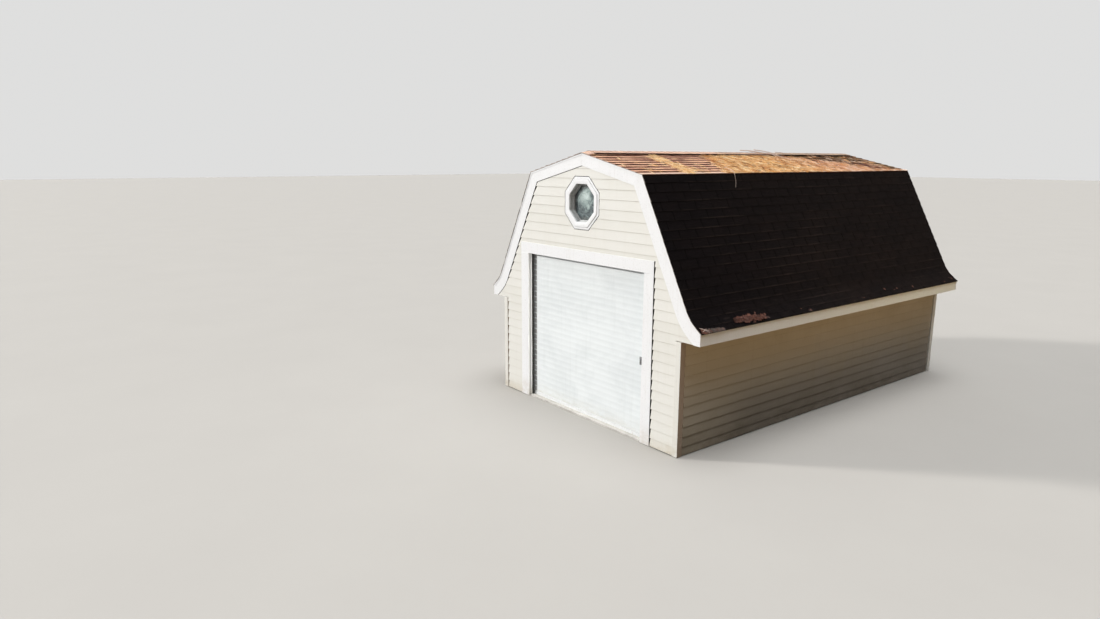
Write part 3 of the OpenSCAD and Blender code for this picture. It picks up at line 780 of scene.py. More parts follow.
def gable_regions(front):
    """Convex regions of a gable wall's siding between its trim boards, each with its askew edges."""
    regions = []
    zs = SOFFIT + 4.0
    rake = skew_edges()
    gaps = {1: TIGHT, -1: GAP}
    if front:
        head = 2347.0 + 1.5
        for s in (1, -1):
            cb = 1755.0 - gaps[s]
            cw = CASING_R + 10.0 if s > 0 else 1378.0 + TIGHT
            inner = bent(176.0 + gaps[s])
            x_turn = float(inner[1][0])
            edge = [(-1.0, 0.0, -cw, SKEW)] if s > 0 else [(-1.0, 0.0, cb, SKEW)]
            lo, hi = sorted((s * cw, s * cb))
            regions.append((rect(lo, hi, 12, zs), edge))
            lo, hi = sorted((s * cw, s * x_turn))
            regions.append((under_rakes(rect(lo, hi, zs, head)), [(-1.0, 0.0, -cw, SKEW)] if s > 0 else rake))
        top = rect(-2000, 2000, head, 3600)
        r = 690.0 / 2 + 9.0
        half = r * math.tan(math.radians(22.5))
        cz = 2972.0
        top = under_rakes(top)
        regions.append((clip(top, 1, 0, -r), rake))
        regions.append((clip(top, -1, 0, -r), []))
        mid = clip(clip(top, 1, 0, half), -1, 0, half)
        regions.append((clip(mid, 0, -1, -(cz + r)), []))
        regions.append((clip(mid, 0, 1, cz - r), []))
        for s in (1, -1):
            side = clip(clip(top, s, 0, r), -s, 0, -half)
            # outside the slanting edges: s*x + (z - cz) >= r*sqrt(2), and the same below
            regions.append((clip(side, -s, -1, -(r * math.sqrt(2) + cz)), []))
            regions.append((clip(side, -s, 1, -(r * math.sqrt(2) - cz)), []))
    else:
        turns = [float(bent(176.0 + gaps[s])[1][0]) for s in (-1, 1)]
        regions.append((rect(-1755.0 + TIGHT, 1755.0 - TIGHT, 12, zs), []))
        regions.append((under_rakes(rect(-turns[0], turns[1], zs, 3600)), rake))
    # the wings before the ends of the eaves, under the flared part of the rakes
    for s in (1, -1):
        pts = [p for p in bent(176.0 + gaps[s])[1:]]
        foot = cross_point(pts[-2], pts[-1] - pts[-2], np.array((0.0, zs)), np.array((1.0, 0.0)))
        chain = [p for p in pts if p[1] > zs] + [foot]
        for a, b in zip(chain, chain[1:]):
            # strips between the curve and the wall's foot line, each a convex quadrilateral
            q = [(s * a[0], a[1]), (s * b[0], b[1]), (s * b[0], zs), (s * a[0], zs)]
            q = [p for i, p in enumerate(q) if abs(p[0] - q[i - 1][0]) + abs(p[1] - q[i - 1][1]) > 1e-3]
            regions.append((q, []))
    return [r_ for r_ in regions if len(r_[0]) >= 3 and area(r_[0]) > 50]


B = Build()
for region, askew in gable_regions(True):
    laps(B, region, on_front, course_tones(3), wedges=askew)
B.piece("siding_front_courses", M_FRONT, "siding", "siding_front", "eave_ends")
B = Build()
for region, askew in gable_regions(False):
    laps(B, region, on_rear, course_tones(5), wedges=askew)
B.piece("siding_rear_courses", M_SIDE_SHADED, "siding", "siding_rear")
for name, place, seed in (("right", on_right, 7), ("left", on_left, 11)):
    B = Build()
    r = random.Random(seed)
    y0, y1 = -3055.0 + GAP, 3055.0 - (28.0 if name == "right" else GAP)   # the rear joint has opened on the right
    joints = [r.choice((-1900, -1250, -620, 480, 1130, 1760)) for _ in range(9)]
    tones = course_tones(seed)
    for k in range(len(BUTTS) - 1):
        if BUTTS[k] >= SOFFIT - 6:
            break
        j = joints[(k + 1) // 2]
        one = clip(clip(rect(y0, j, BUTTS[k], SOFFIT - 3), 0, 1, BUTTS[k + 1]), 0, -1, -BUTTS[k])
        two = clip(clip(rect(j, y1, BUTTS[k], SOFFIT - 3), 0, 1, BUTTS[k + 1]), 0, -1, -BUTTS[k])
        laps(B, one, place, tones, lambda k: 0.9, lap=LAP["side"])
        laps(B, two, place, lambda k, t=tones: t(k) - 0.06, lap=LAP["side"])
    B.piece(f"siding_{name}_courses", M_SIDE_SHADED, "siding", f"siding_{name}")


# ---------------------------------------------------------------- trim boards
FELT = [(0.0, 0.4), (0.0, 37.0), (1.8, 37.0), (1.8, 0.4)]


def shift(p, d, mm):
    return tuple(np.asarray(p, float) + mm * np.asarray(d, float))


for end, place, s_end in (("front", on_front, -1), ("rear", on_rear, 1)):
    for side, s in (("right", 1), ("left", -1)):
        B = Build()
        sign = lambda pts: [(s * u, z) for u, z in pts]
        j = 0.15
        upper = [shift(P_RIDGE, (1, 0), j), shift(P_KNEE, -D_UP, j), shift(KNEE_IN, -D_UP, j), shift(A_UP, (1, 0), j)]
        v, f = solid(sign(upper), place, 18.3, 40.0, 1.3)
        B.add(v, f, 0.62, 0.25)
        outer, inner = bent(0.0), bent(176.0)
        foot = cross_point(inner[-2], inner[-1] - inner[-2], np.array((0.0, SOFFIT)), np.array((1.0, 0.0)))
        ring = [shift(P_KNEE, D_LOW, j)] + [tuple(p) for p in outer[1:-1]] + [tuple(P_EAVE), (P_EAVE[0], SOFFIT)]
        ring += [tuple(foot)] + [tuple(p) for p in inner[1:-1][::-1] if p[1] > SOFFIT + 5] + [shift(KNEE_IN, D_LOW, j)]
        v, f = solid(sign(ring), place, 18.3, 40.0, 1.3)
        B.add(v, f, 0.5, 0.25)
        # drip edge: a thin white strip on the board, right under the shingles
        dr = [(0.0, 40.2), (0.0, 43.6), (20.0, 43.6), (20.8, 42.9), (20.8, 40.2)]
        up_path = [(s * P_RIDGE[0], P_RIDGE[1] + 0.4), (s * P_KNEE[0], P_KNEE[1] + 0.4)]
        low = [tuple(p) for p in outer]
        path = [(s * u, z) for u, z in ([tuple(P_RIDGE + (0, 0.3)), tuple(P_KNEE + (0.2, 0.2))] + low[1:])]
        if s > 0:
            path = path[::-1]
        sweep(B, path, dr, place, tone=0.75, wear=0.1)
        if s < 0:
            # a strip of dark felt in the open joint along the inner edge, painted near-black as the joint's shade
            edge = [(s * A_UP[0], A_UP[1]), (s * KNEE_IN[0], KNEE_IN[1])] + [(s * p[0], p[1]) for p in inner[1:-1] if p[1] > SOFFIT + 30]
            sweep(B, edge, FELT, place, tone=0.3, under=1.0)
        B.piece(f"rake_boards_{end}_{side}", M_TRIM, "trim", f"rake_{end}_{side}")

for side, s in (("right", 1), ("left", -1)):
    B = Build()
    for y0, y1, t in ((-SY, 540.0, 0.55), (541.0, SY, 0.45)):
        pl = lambda u, z, y: (s * u, y, z)
        sec = [(2105.0, SOFFIT), (2127.0, SOFFIT), (2127.0, 1592.0), (2105.0, 1609.0)]
        v, f = solid(sec, pl, y0, y1, 1.8)
        B.add(v, f, t, 0.2)
    lip = [(2127.3, 1571.0), (2129.8, 1570.0), (2130.4, 1571.0), (2129.0, 1592.0), (2127.3, 1593.0)]
    v, f = solid(lip, pl, -3140.0, 3140.0, 0.0)
    B.add(v, f, 0.8, 0.1)
    B.piece(f"fascia_boards_{side}", M_EAVE, "trim", f"fascia_{side}")
    # soffit panels with V-grooves that run out from the wall
    B = Build()
    y, sec = -3100.0, [(-3100.0, 1458.0), (-3100.0, 1446.0)]
    while y + 100 < 3095:
        y += 100
        sec += [(y - 3, 1446.0), (y, 1450.5), (y + 3, 1446.0)]
    sec += [(3100.0, 1446.0), (3100.0, 1458.0)]
    pl = lambda yy, z, x: (s * x, yy, z)
    v, f = solid(sec, pl, 1800.0, 2104.6, 0.0)
    B.add(v, f, 0.5, 0.0)
    B.piece(f"soffit_panels_{side}", M_EAVE, "trim", f"soffit_{side}")

for end, s_end in (("front", -1), ("rear", 1)):
    B = Build()
    for s in (1, -1):
        top = SOFFIT - 7.0
        sec = [(TX, TY), (TX, TY - 85), (WX + 0.4, TY - 85), (WX + 0.4, WY + 0.4), (TX - 85, WY + 0.4), (TX - 85, TY)]
        sec = [(s * x, s_end * y) for x, y in sec]
        v, f = solid(sec, along_z, 6.0, top, 2.5)
        B.add(v, f, 0.6, 0.25)
    B.piece(f"corner_posts_{end}", M_POST, "trim", f"corner_boards_{end}")

B = Build()
for lo, hi in ((-1378.0, -1200.0), (1200.0, CASING_R)):
    v, f = solid(rect(lo, hi, 6.0, 2189.6), on_front, 0.4, 40.0, 2.0)
    B.add(v, f, 0.62, 0.25)
# a dark felt strip in the joint beside the right casing, painted near-black as the joint's shade
v, f = solid(rect(CASING_R + 0.2, CASING_R + 2.6, 12.0, 2346.0), on_front, 0.4, 37.5, 0.0)
B.add(v, f, 0.3, 0.0, 1.0)
B.piece("door_side_boards", M_TRIM, "trim", "door_side_casings")
B = Build()
v, f = solid(rect(-1378.0, CASING_R, 2190.0, 2347.0), on_front, 0.4, 40.0, 2.0)
B.add(v, f, 0.62, 0.25)
B.piece("door_head_board", M_TRIM, "trim", "door_head_casing")
B = Build()
for s in (1, -1):
    lo, hi = sorted((s * 1200.0, s * 1225.0))
    v, f = solid(rect(lo, hi, 25.0, 2189.6), on_front, -25.0, 18.0, 1.5)
    B.add(v, f, 0.4, 0.2)
v, f = solid(rect(-1225.0, 1225.0, 2190.0, 2215.0), on_front, -25.0, 18.0, 1.5)
B.add(v, f, 0.4, 0.1)
# a stop bead under the head
v, f = solid(rect(-1200.0, 1200.0, 2178.3, 2190.2), on_front, -24.5, -8.0, 1.5)
B.add(v, f, 0.45, 0.1)
B.piece("door_jambs", M_REVEAL_LIT, "trim", "door_frame")

# ---------------------------------------------------------------- door
B = Build()
for s in (1, -1):
    # a folded channel: flange, its inner lip, and the back wall
    sec = [(1225.0, -3075.0), (1170.0, -3075.0), (1170.0, -3057.5), (1172.5, -3057.5), (1172.5, -3072.5), (1222.0, -3072.5), (1222.0, -3054.0), (1225.0, -3054.0)]
    sec = [(s * x, y) for x, y in sec]
    v, f = solid(sec, along_z, 26.0, 2189.0, 0.6, 1)
    B.add(v, f, 0.5, 0.3)
B.piece("door_guide_channels", M_GUIDE, "guide", "door_guides")


def ribbed(z0, z1, pitch, front, deep, thick):
    """One sheet with rounded ribs: (z, y) of its face and its back."""
    pts = []
    shape = [(0.0, 1.0), (0.12, 0.97), (0.20, 0.85), (0.28, 0.60), (0.34, 0.32), (0.40, 0.10), (0.46, 0.0),
             (0.54, 0.0), (0.60, 0.10), (0.66, 0.32), (0.72, 0.60), (0.80, 0.85), (0.88, 0.97)]
    n = int((z1 - z0) / pitch) + 2
    for i in range(-1, n):
        for t, h in shape:
            z = z0 + (i + t) * pitch
            if z0 < z < z1:
                pts.append((z, front + deep * h))
    pts = [(z0, pts[0][1])] + pts + [(z1, pts[-1][1])]
    return pts


B = Build()
pts = ribbed(80.5, 2200.0, 81.0, -3053.0, 1.1, 0.9)
cols = [-1221.0 + 2442.0 * i / 12 for i in range(13)]
rj = random.Random(21)
sag = [0.0] + [rj.uniform(-0.7, 0.7) for _ in cols[1:-1]] + [0.0]
verts, wear, m = [], [], len(pts)
for x, w in zip(cols, sag):
    for z, y in pts:
        verts.append((x, y + w * math.sin(z / 310.0 + x / 500.0), z))
        wear.append(0.3 if y < -3052.8 else 0.0)
    for z, y in pts:
        verts.append((x, y + 1.1 + w * math.sin(z / 310.0 + x / 500.0), z))
        wear.append(0.0)
faces = []
for c in range(len(cols) - 1):
    a, b = c * 2 * m, (c + 1) * 2 * m
    for i in range(m - 1):
        faces.append((a + i, b + i, b + i + 1, a + i + 1))
        faces.append((a + m + i + 1, b + m + i + 1, b + m + i, a + m + i))
    faces.append((a, a + m, b + m, b))
    faces.append((a + m - 1, b + m - 1, b + 2 * m - 1, a + 2 * m - 1))
for c in (0, len(cols) - 1):
    a = c * 2 * m
    for i in range(m - 1):
        faces.append((a + i, a + i + 1, a + m + i + 1, a + m + i))
B.add(verts, faces, 0.5, wear)
B.piece("door_ribbed_sheet", M_CURTAIN, "curtain", "door_curtain")
# a pressed steel lock at both ends of every rib, which rides in the guide
B = Build()
for s in (1, -1):
    z = 80.5 + 40.5
    while z < 2170:
        lo, hi = (-1169.0, -1107.0) if s < 0 else (1132.0, 1169.0)
        v, f = solid(rect(lo, hi, z - 30.0, z + 30.0), lambda u, zz, y: (u, y, zz), -3056.6, -3053.3, 1.3)
        B.add(v, f, 0.5, 0.3)
        lo, hi = (-1168.0, -1120.0) if s < 0 else (1140.0, 1168.0)
        v, f = solid(rect(lo, hi, z - 5.0, z + 5.0), lambda u, zz, y: (u, y, zz), -3059.0, -3056.4, 1.0)
        B.add(v, f, 0.5, 0.3)
        z += 81.0
B.piece("door_end_locks", M_LOCK, "guide")
B = Build()
sec = [(-3054.5, 34.0), (-3052.0, 31.0), (-3034.5, 31.0), (-3034.0, 80.0), (-3043.0, 80.0), (-3043.5, 72.0), (-3053.0, 70.0), (-3054.5, 67.0)]
v, f = solid(sec, along_x, -1168.0, 1168.0, 0.8, 1)
B.add(v, f, 0.5, 0.3)
v, f = solid([(-3050.0, 25.2), (-3038.0, 25.2), (-3038.0, 31.2), (-3050.0, 31.2)], along_x, -1166.0, 1166.0, 1.5)
B.add(v, f, 0.1, 0.3)
for x in np.linspace(-1080, 1080, 9):
    v, f = solid([(x + 5.0 * math.cos(a), 51.0 + 5.0 * math.sin(a)) for a in np.linspace(0, 2 * math.pi, 10, endpoint=False)],
                 lambda u, z, y: (u, y, z), -3057.0, -3053.6, 1.0, 1)
    B.add(v, f, 0.3, 0.4)
B.piece("door_bottom_rail", M_BAR, "bottom_bar", "door_bottom_bar")
B = Build()
v, f = solid(rect(1080.0, 1122.0, 992.0, 1098.0), lambda u, z, y: (u, y, z), -3058.0, -3053.4, 1.5)
B.add(v, f, 0.5, 0.4)
v, f = solid([(1101.0 + 6.5 * math.cos(a), -3065.0 + 6.5 * math.sin(a)) for a in np.linspace(0, 2 * math.pi, 12, endpoint=False)],
             along_z, 1006.0, 1084.0, 1.2)
B.add(v, f, 0.4, 0.5)
for z in (1018.0, 1072.0):
    v, f = solid(rect(1089.0, 1113.0, z - 6, z + 6), lambda u, zz, y: (u, y, zz), -3070.0, -3057.6, 1.5)
    B.add(v, f, 0.6, 0.5)
v, f = solid(rect(1105.0, 1118.0, 1041.0, 1048.0), lambda u, zz, y: (u, y, zz), -3071.0, -3062.0, 1.2)
B.add(v, f, 0.6, 0.5)
for x in (1086.0, 1116.0):
    for z in (999.0, 1091.0):
        v, f = solid([(x + 3.2 * math.cos(a), z + 3.2 * math.sin(a)) for a in np.linspace(0, 2 * math.pi, 8, endpoint=False)],
                     lambda u, zz, y: (u, y, zz), -3060.0, -3057.5, 0.8, 1)
        B.add(v, f, 0.3, 0.6)
B.piece("door_latch_parts", M_LATCH, "latch", "door_latch")

# ---------------------------------------------------------------- window
B = Build()
# outer band, its step, and the raised inner band with a rounded nose
casing = [(0.0, 0.4), (0.0, 34.5), (1.5, 36.0), (28.0, 36.0), (29.5, 35.0), (31.0, 28.0), (33.0, 28.0), (34.0, 40.0), (36.0, 43.0),
          (60.0, 43.5), (88.0, 42.0), (93.0, 40.5), (95.0, 36.0), (95.0, 18.3), (83.5, 18.3), (83.5, 0.4)]
sweep(B, octagon(690.0), casing, on_front, closed=True, tone=0.6, wear=0.2)
# a dark felt ring round the casing's outer edge, painted near-black as the joint's shade
sweep(B, octagon(690.0), [(-1.8, 0.4), (-1.8, 34.0), (-0.1, 34.0), (-0.1, 0.4)], on_front, closed=True, tone=0.3, under=1.0)
B.piece("window_casing_moulding", M_TRIM, "trim", "window_casing")
B = Build()
liner = [(0.0, 18.2), (12.0, 18.2), (12.0, -13.0), (16.0, -14.5), (16.0, -24.0), (12.0, -26.0), (12.0, -99.5), (0.0, -99.5)]
sweep(B, octagon(523.6), liner, on_front, closed=True, tone=0.35, wear=0.2)
sash = [(0.4, -15.5), (14.0, -15.5), (19.0, -18.5), (22.0, -24.0), (22.0, -39.6), (20.5, -39.6), (20.5, -46.6), (22.0, -46.6), (22.0, -52.0), (0.4, -52.0)]
sweep(B, octagon(499.6), sash, on_front, closed=True, tone=0.5, wear=0.35)
B.piece("window_liner_and_sash", M_SASH_SHADED, "trim", "window_frame")

# ---------------------------------------------------------------- roof
EXPO = 123.8                       # exposure of a course of shingles
TAB, SLOT = 305.0, 8.0
Y_END = 3150.0


def on_low(s, y, h, side):
    p, n = low_path(s)
    q = p + np.asarray(h, float)[..., None] * n
    return np.stack([side * q[..., 0], np.broadcast_to(y, q[..., 0].shape), q[..., 1]], -1)


def on_up(s, y, h, side):
    s, h = np.asarray(s, float), np.asarray(h, float)
    q = P_RIDGE + s[..., None] * D_UP + h[..., None] * N_UP
    return np.stack([side * q[..., 0], np.broadcast_to(y, q[..., 0].shape), q[..., 1]], -1)


def grid_faces(nu, nv):
    """Faces of a slab whose top is a grid of nu by nv cells and whose bottom repeats the rim."""
    idx = lambda i, j: i * (nv + 1) + j
    top = [(idx(i, j), idx(i + 1, j), idx(i + 1, j + 1), idx(i, j + 1)) for i in range(nu) for j in range(nv)]
    rim = [idx(i, 0) for i in range(nu)] + [idx(nu, j) for j in range(nv)] + [idx(i, nv) for i in range(nu, 0, -1)] + [idx(0, j) for j in range(nv, 0, -1)]
    n = (nu + 1) * (nv + 1)
    faces = list(top)
    for k in range(len(rim)):
        a, b = rim[k], rim[(k + 1) % len(rim)]
        faces.append((b, a, n + k, n + (k + 1) % len(rim)))
    faces.append(tuple(n + k for k in range(len(rim))))
    return faces, rim


def tab(B, f_at, side, s0, s1, y0, y1, tone, rng, lift, low, last, nu=4):
    """One shingle tab from s0 (hidden end) to s1 (its butt), between y0 and y1."""
    u = np.linspace(0, 1, nu + 1)
    if low:
        v = np.array([0.0, 0.5, 0.86, 1.0])
        h_butt, h_fall = 12.0, 0.0404
    else:
        # painted shadow: a dark band lies under the butt above
        v = np.array([0.0, 0.12, 0.25, 0.33, 0.70, 0.93, 1.0])
        h_butt, h_fall = 14.0, 0.066
    faces, rim = grid_faces(nu, len(v) - 1)
    U, V = np.meshgrid(u, v, indexing="ij")
    s = s0 + (s1 - s0) * V
    y = y0 + (y1 - y0) * U
    s = s + (V > 0.99) * (rng.normal(0, 0.6, U.shape) + lift[2])
    h = h_butt - (s1 - s) * h_fall
    curl = lift[0] * (1 - U) ** 2 + lift[1] * U ** 2
    h = h + curl * V ** 2 + rng.normal(0, 0.22, U.shape) * (V > 0.01)
    top = f_at(s, y, h, side).reshape(-1, 3)
    bot = f_at(s, y, h - 3.4, side).reshape(-1, 3)[rim]
    end = (V > 0.99).astype(float).reshape(-1)
    if low:
        B.add(np.concatenate([top, bot]), faces, tone, np.concatenate([end, end[rim]]))
    else:
        band = (np.where(V < 0.28, 1.0, 0.0) + 0.25 * (V > 0.99)).reshape(-1)
        pale = (np.where(V > 0.5, 1.0, 0.0)).reshape(-1) * (1.0 if last else 0.0)
        B.add(np.concatenate([top, bot]), faces, tone, np.concatenate([pale, pale[rim]]), np.concatenate([band, np.where(last, 0.3, 1.0) * end[rim]]))


def roof_side(side, name, seed):
    rng = np.random.default_rng(seed)
    low, upp = Build(), Build()
    # butts down the lower slope, and the last one hangs over the fascia
    end = L_LOW + L_FL + 14.0
    butts = [110.0 + EXPO * i for i in range(40) if 110.0 + EXPO * i < end - 60] + [end]
    jobs = [(low, on_low, butts, 0.0)]
    over = L_UP + 11.0
    n_up = int((over - 60) / EXPO)
    ub = [over - EXPO * i for i in range(n_up, -1, -1)]
    jobs.append((upp, on_up, ub, 20.0))
    for B, f_at, rows, first in jobs:
        top_end = 1.0 if f_at is on_low else first
        for r_i, b in enumerate(rows):
            s_prev = rows[r_i - 1] if r_i else top_end
            # the solid upper part of the course below shows in the slots, painted dark as the slots' shade
            ns = 6 if (f_at is on_low and b > L_LOW - BEND - 30) else 1
            ss = np.linspace(max(top_end, s_prev - 2), b - 1.5, ns + 1)
            hh = np.maximum((12.0 - (b - ss) * 0.0404 if f_at is on_low else 14.0 - (b - ss) * 0.066) - 4.7, 1.2)
            prof = [(a, c) for a, c in zip(ss, hh)] + [(a, 0.3) for a in ss[::-1]]
            k = len(prof)
            S = np.array([p[0] for p in prof]); H = np.array([p[1] for p in prof])
            va = f_at(S, -Y_END + 4, H, side); vb = f_at(S, Y_END - 4, H, side)
            faces = [tuple(range(k)), tuple(range(2 * k - 1, k - 1, -1))] + [(i, (i + 1) % k, k + (i + 1) % k, k + i) for i in range(k)]
            B.add(np.concatenate([va, vb]), faces, 0.15, 0.0, 1.0)
            shift_y = (r_i % 2) * TAB / 2 + rng.uniform(-5, 5)
            y = -Y_END - (TAB - shift_y) if shift_y else -Y_END
            strip = rng.uniform(0.15, 0.85)
            n_tab = 0
            while y < Y_END:
                a, c = max(y, -Y_END + rng.uniform(-1.5, 1.5)), min(y + TAB - SLOT, Y_END + rng.uniform(-1.5, 1.5))
                if n_tab % 3 == 0:
                    strip = rng.uniform(0.1, 0.9)
                if c - a > 12:
                    tone = float(np.clip(0.6 * strip + 0.4 * rng.uniform(0, 1), 0, 1))
                    s_hid = max(top_end, s_prev - 13)
                    lift = (abs(rng.normal(0, 0.9)), abs(rng.normal(0, 0.9)), rng.normal(0, 1.0))
                    if f_at is on_up:
                        lift = (abs(rng.normal(0, 2.4)), abs(rng.normal(0, 2.4)), rng.normal(0, 2.2))
                    if b > end - 1 or (f_at is on_up and b > over - 1):
                        lift = (0.2, 0.2, -0.6)
                    tab(B, f_at, side, s_hid, b, a, c, tone, rng, lift, B is low, f_at is on_up and b > over - 1)
                y += TAB
                n_tab += 1
    low.piece(f"shingles_lower_{name}", M_LOWROOF, "shingles", f"shingles_{name}")
    upp.piece(f"shingles_upper_{name}", M_UPROOF, "shingles", f"shingles_{name}")


roof_side(1, "right", 31)
roof_side(-1, "left", 57)

# ridge vent: a dark core with fins along both edges, under cap shingles
B = Build()
VENT = 3020.0


def fold(s, h):
    """Point over the ridge, s mm from it along the slope (its sign gives the side), h over the deck."""
    q = P_RIDGE + abs(s) * D_UP + h * N_UP
    if abs(s) < 1e-6:
        return 0.0, float(ridge_at(h)[1])
    return (1 if s > 0 else -1) * q[0], q[1]


sec = [fold(-110, 13.0), fold(0, 13.0), fold(110, 13.0), fold(110, 29.6), fold(0, 29.6), fold(-110, 29.6)]
v, f = solid(sec, lambda u, z, y: (u, y, z), -VENT + 3, VENT - 3, 0.0)
B.add(v, f, 0.5, 0.0)
for s in (1, -1):
    y = -VENT + 6
    while y < VENT - 6:
        q = [fold(s * a, h) for a, h in ((109.5, 12.3), (128.0, 12.3), (128.0, 29.7), (109.5, 29.7))]
        va = [(x, y, z) for x, z in q] + [(x, y + 3.5, z) for x, z in q]
        B.add(va, [(0, 1, 2, 3), (7, 6, 5, 4), (0, 4, 5, 1), (1, 5, 6, 2), (2, 6, 7, 3), (3, 7, 4, 0)], 0.5, 0.0)
        y += 16.0
    for hh in (12.4, 27.2):
        q = [fold(s * a, h) for a, h in ((121.0, hh), (128.3, hh), (128.3, hh + 2.4), (121.0, hh + 2.4))]
        v, f = solid(q, lambda u, z, yy: (u, yy, z), -VENT + 4, VENT - 4, 0.0)
        B.add(v, f, 0.5, 0.0)
B.piece("ridge_vent_base", M_VENT, "vent", "ridge_vent")


def cap(B, y0, y1, h_hid, h_butt, tone, rng, half=136.0):
    """One cap shingle, folded over the ridge, from its hidden end y0 to its butt y1."""
    ss = [-half, -half * 0.6, -half * 0.25, -12.0, 12.0, half * 0.25, half * 0.6, half]
    ys = [0.0, 0.5, 0.9, 1.0]
    top, bot = [], []
    droop = [rng.uniform(0.0, 1.6), rng.uniform(0.0, 1.6)]
    for i, s in enumerate(ss):
        for t in ys:
            y = y0 + (y1 - y0) * t
            h = h_hid + (h_butt - h_hid) * t + rng.normal(0, 0.2)
            h -= (droop[0] if s < 0 else droop[1]) * (abs(s) / half) ** 3
            h -= 1.2 if abs(s) < 20 else 0.0
            top.append((s, y, h))
            bot.append((s, y, h - 3.3))
    conv = lambda p: (fold(p[0], p[2])[0], p[1], fold(p[0], p[2])[1])
    faces, rim = grid_faces(len(ss) - 1, len(ys) - 1)
    n_top = len(top)
    # the under face is a grid as well, so that the fold stays true
    nv = len(ys)
    faces = [(i * nv + j, (i + 1) * nv + j, (i + 1) * nv + j + 1, i * nv + j + 1) for i in range(len(ss) - 1) for j in range(nv - 1)]
    faces += [tuple(n_top + k for k in reversed(q)) for q in faces[:]]
    for k in range(len(rim)):
        a, b = rim[k], rim[(k + 1) % len(rim)]
        faces.append((b, a, n_top + a, n_top + b))
    wear = [1.0 if abs(t - 1.0) < 1e-6 else 0.0 for _ in ss for t in ys] * 2
    # painted shade: the cap's under faces are dark, and its butt edge half so
    B.add([conv(p) for p in top + bot], faces, tone, [0.55] * n_top + [0.0] * n_top, [0.5 * w for w in wear[:n_top]] + [1.0] * n_top)


B = Build()
rng = np.random.default_rng(91)
y = VENT
while y > -VENT + 20:
    y1 = y - 127.0
    hidden = min(VENT, y + 20)
    cap(B, hidden, max(y1, -VENT), 35.0, 39.0, float(rng.uniform(0.2, 1.0)), rng)
    y = y1
# the end caps slope down from the vent to the rakes
for s in (1, -1):
    cap(B, s * (VENT - 12), s * 3152.0, 34.0, 13.0, 0.8, rng)
B.piece("ridge_cap_shingles", M_UPROOF, "shingles", "ridge_cap")

# ---------------------------------------------------------------- fallen litter on the roof
def needle_field(name, seed, count, where):
    """Dry needles as thin three-sided prisms, lying on the shingles."""
    rng = np.random.default_rng(seed)
    co, tones = [], []
    made = 0
    while made < count:
        side, s, y, h, turn, pale = where(rng)
        k = int(rng.integers(2, 6))
        for _ in range(k):
            a = turn + rng.normal(0, 0.22)
            length = rng.uniform(65, 120)
            r = rng.uniform(0.9, 1.5)
            dy, ds = math.cos(a) * length / 2, math.sin(a) * length / 2
            s_c, y_c, h_c = s + rng.normal(0, 14), y + rng.normal(0, 9), h + rng.uniform(0.6, 11.0)
            tilt = rng.normal(0, 2.6)
            ends = []
            for e in (-1, 1):
                ps, py, ph = s_c + e * ds, y_c + e * dy, h_c + e * tilt
                ps = min(max(ps, 25.0), L_UP + 24)
                py = min(max(py, -3146), 3146)
                for (o_s, o_h) in ((-r, -0.4 * r), (r, -0.4 * r), (0.0, 1.1 * r)):
                    q = P_RIDGE + (ps + o_s * abs(math.cos(a))) * D_UP + (ph + o_h) * N_UP
                    ends.append((side * q[0], py + o_s * abs(math.sin(a)), q[1]))
            co.append(ends)
            tones.append(np.clip(rng.normal(pale, 0.26), 0, 1))
            made += 1
    co = np.array(co)
    B = Build()
    n = len(co)
    base = [(0, 1, 2), (5, 4, 3), (0, 3, 4, 1), (1, 4, 5, 2), (2, 5, 3, 0)]
    faces = [tuple(i * 6 + j for j in f) for i in range(n) for f in base]
    B.add(co.reshape(-1, 3), faces, np.repeat(tones, 6), 0.0)
    return B.piece(name, M_NEEDLE, "shingles")


def surface_h(s):
    """Height of the upper slope's shingle face over the deck."""
    over = L_UP + 11.0
    return 14.0 - ((over - s) % EXPO) * 0.066


def waves(seed, long_to, wide_to, count=20):
    """A smooth random field over the slope, long down it and narrow across it, about -1 to 1."""
    r = np.random.default_rng(seed)
    terms = [(2 * math.pi / r.uniform(0.26 * long_to, long_to) * r.choice((-1, 1)), 2 * math.pi / r.uniform(0.24 * wide_to, wide_to), r.uniform(0, 6.28))
             for _ in range(count)]
    return lambda s, y: sum(math.cos(a * s + b * y + c) for a, b, c in terms) / math.sqrt(count / 2)


diagonal, shades = waves(77, 2400, 190), waves(78, 900, 420)


def clumps(s, y):
    """The same kind of field, turned by 31 degrees."""
    return diagonal(0.857 * s + 0.515 * y, 0.857 * y - 0.515 * s)


def soft(v, a, b):
    t = max(0.0, min(1.0, (v - a) / (b - a)))
    return t * t * (3 - 2 * t)


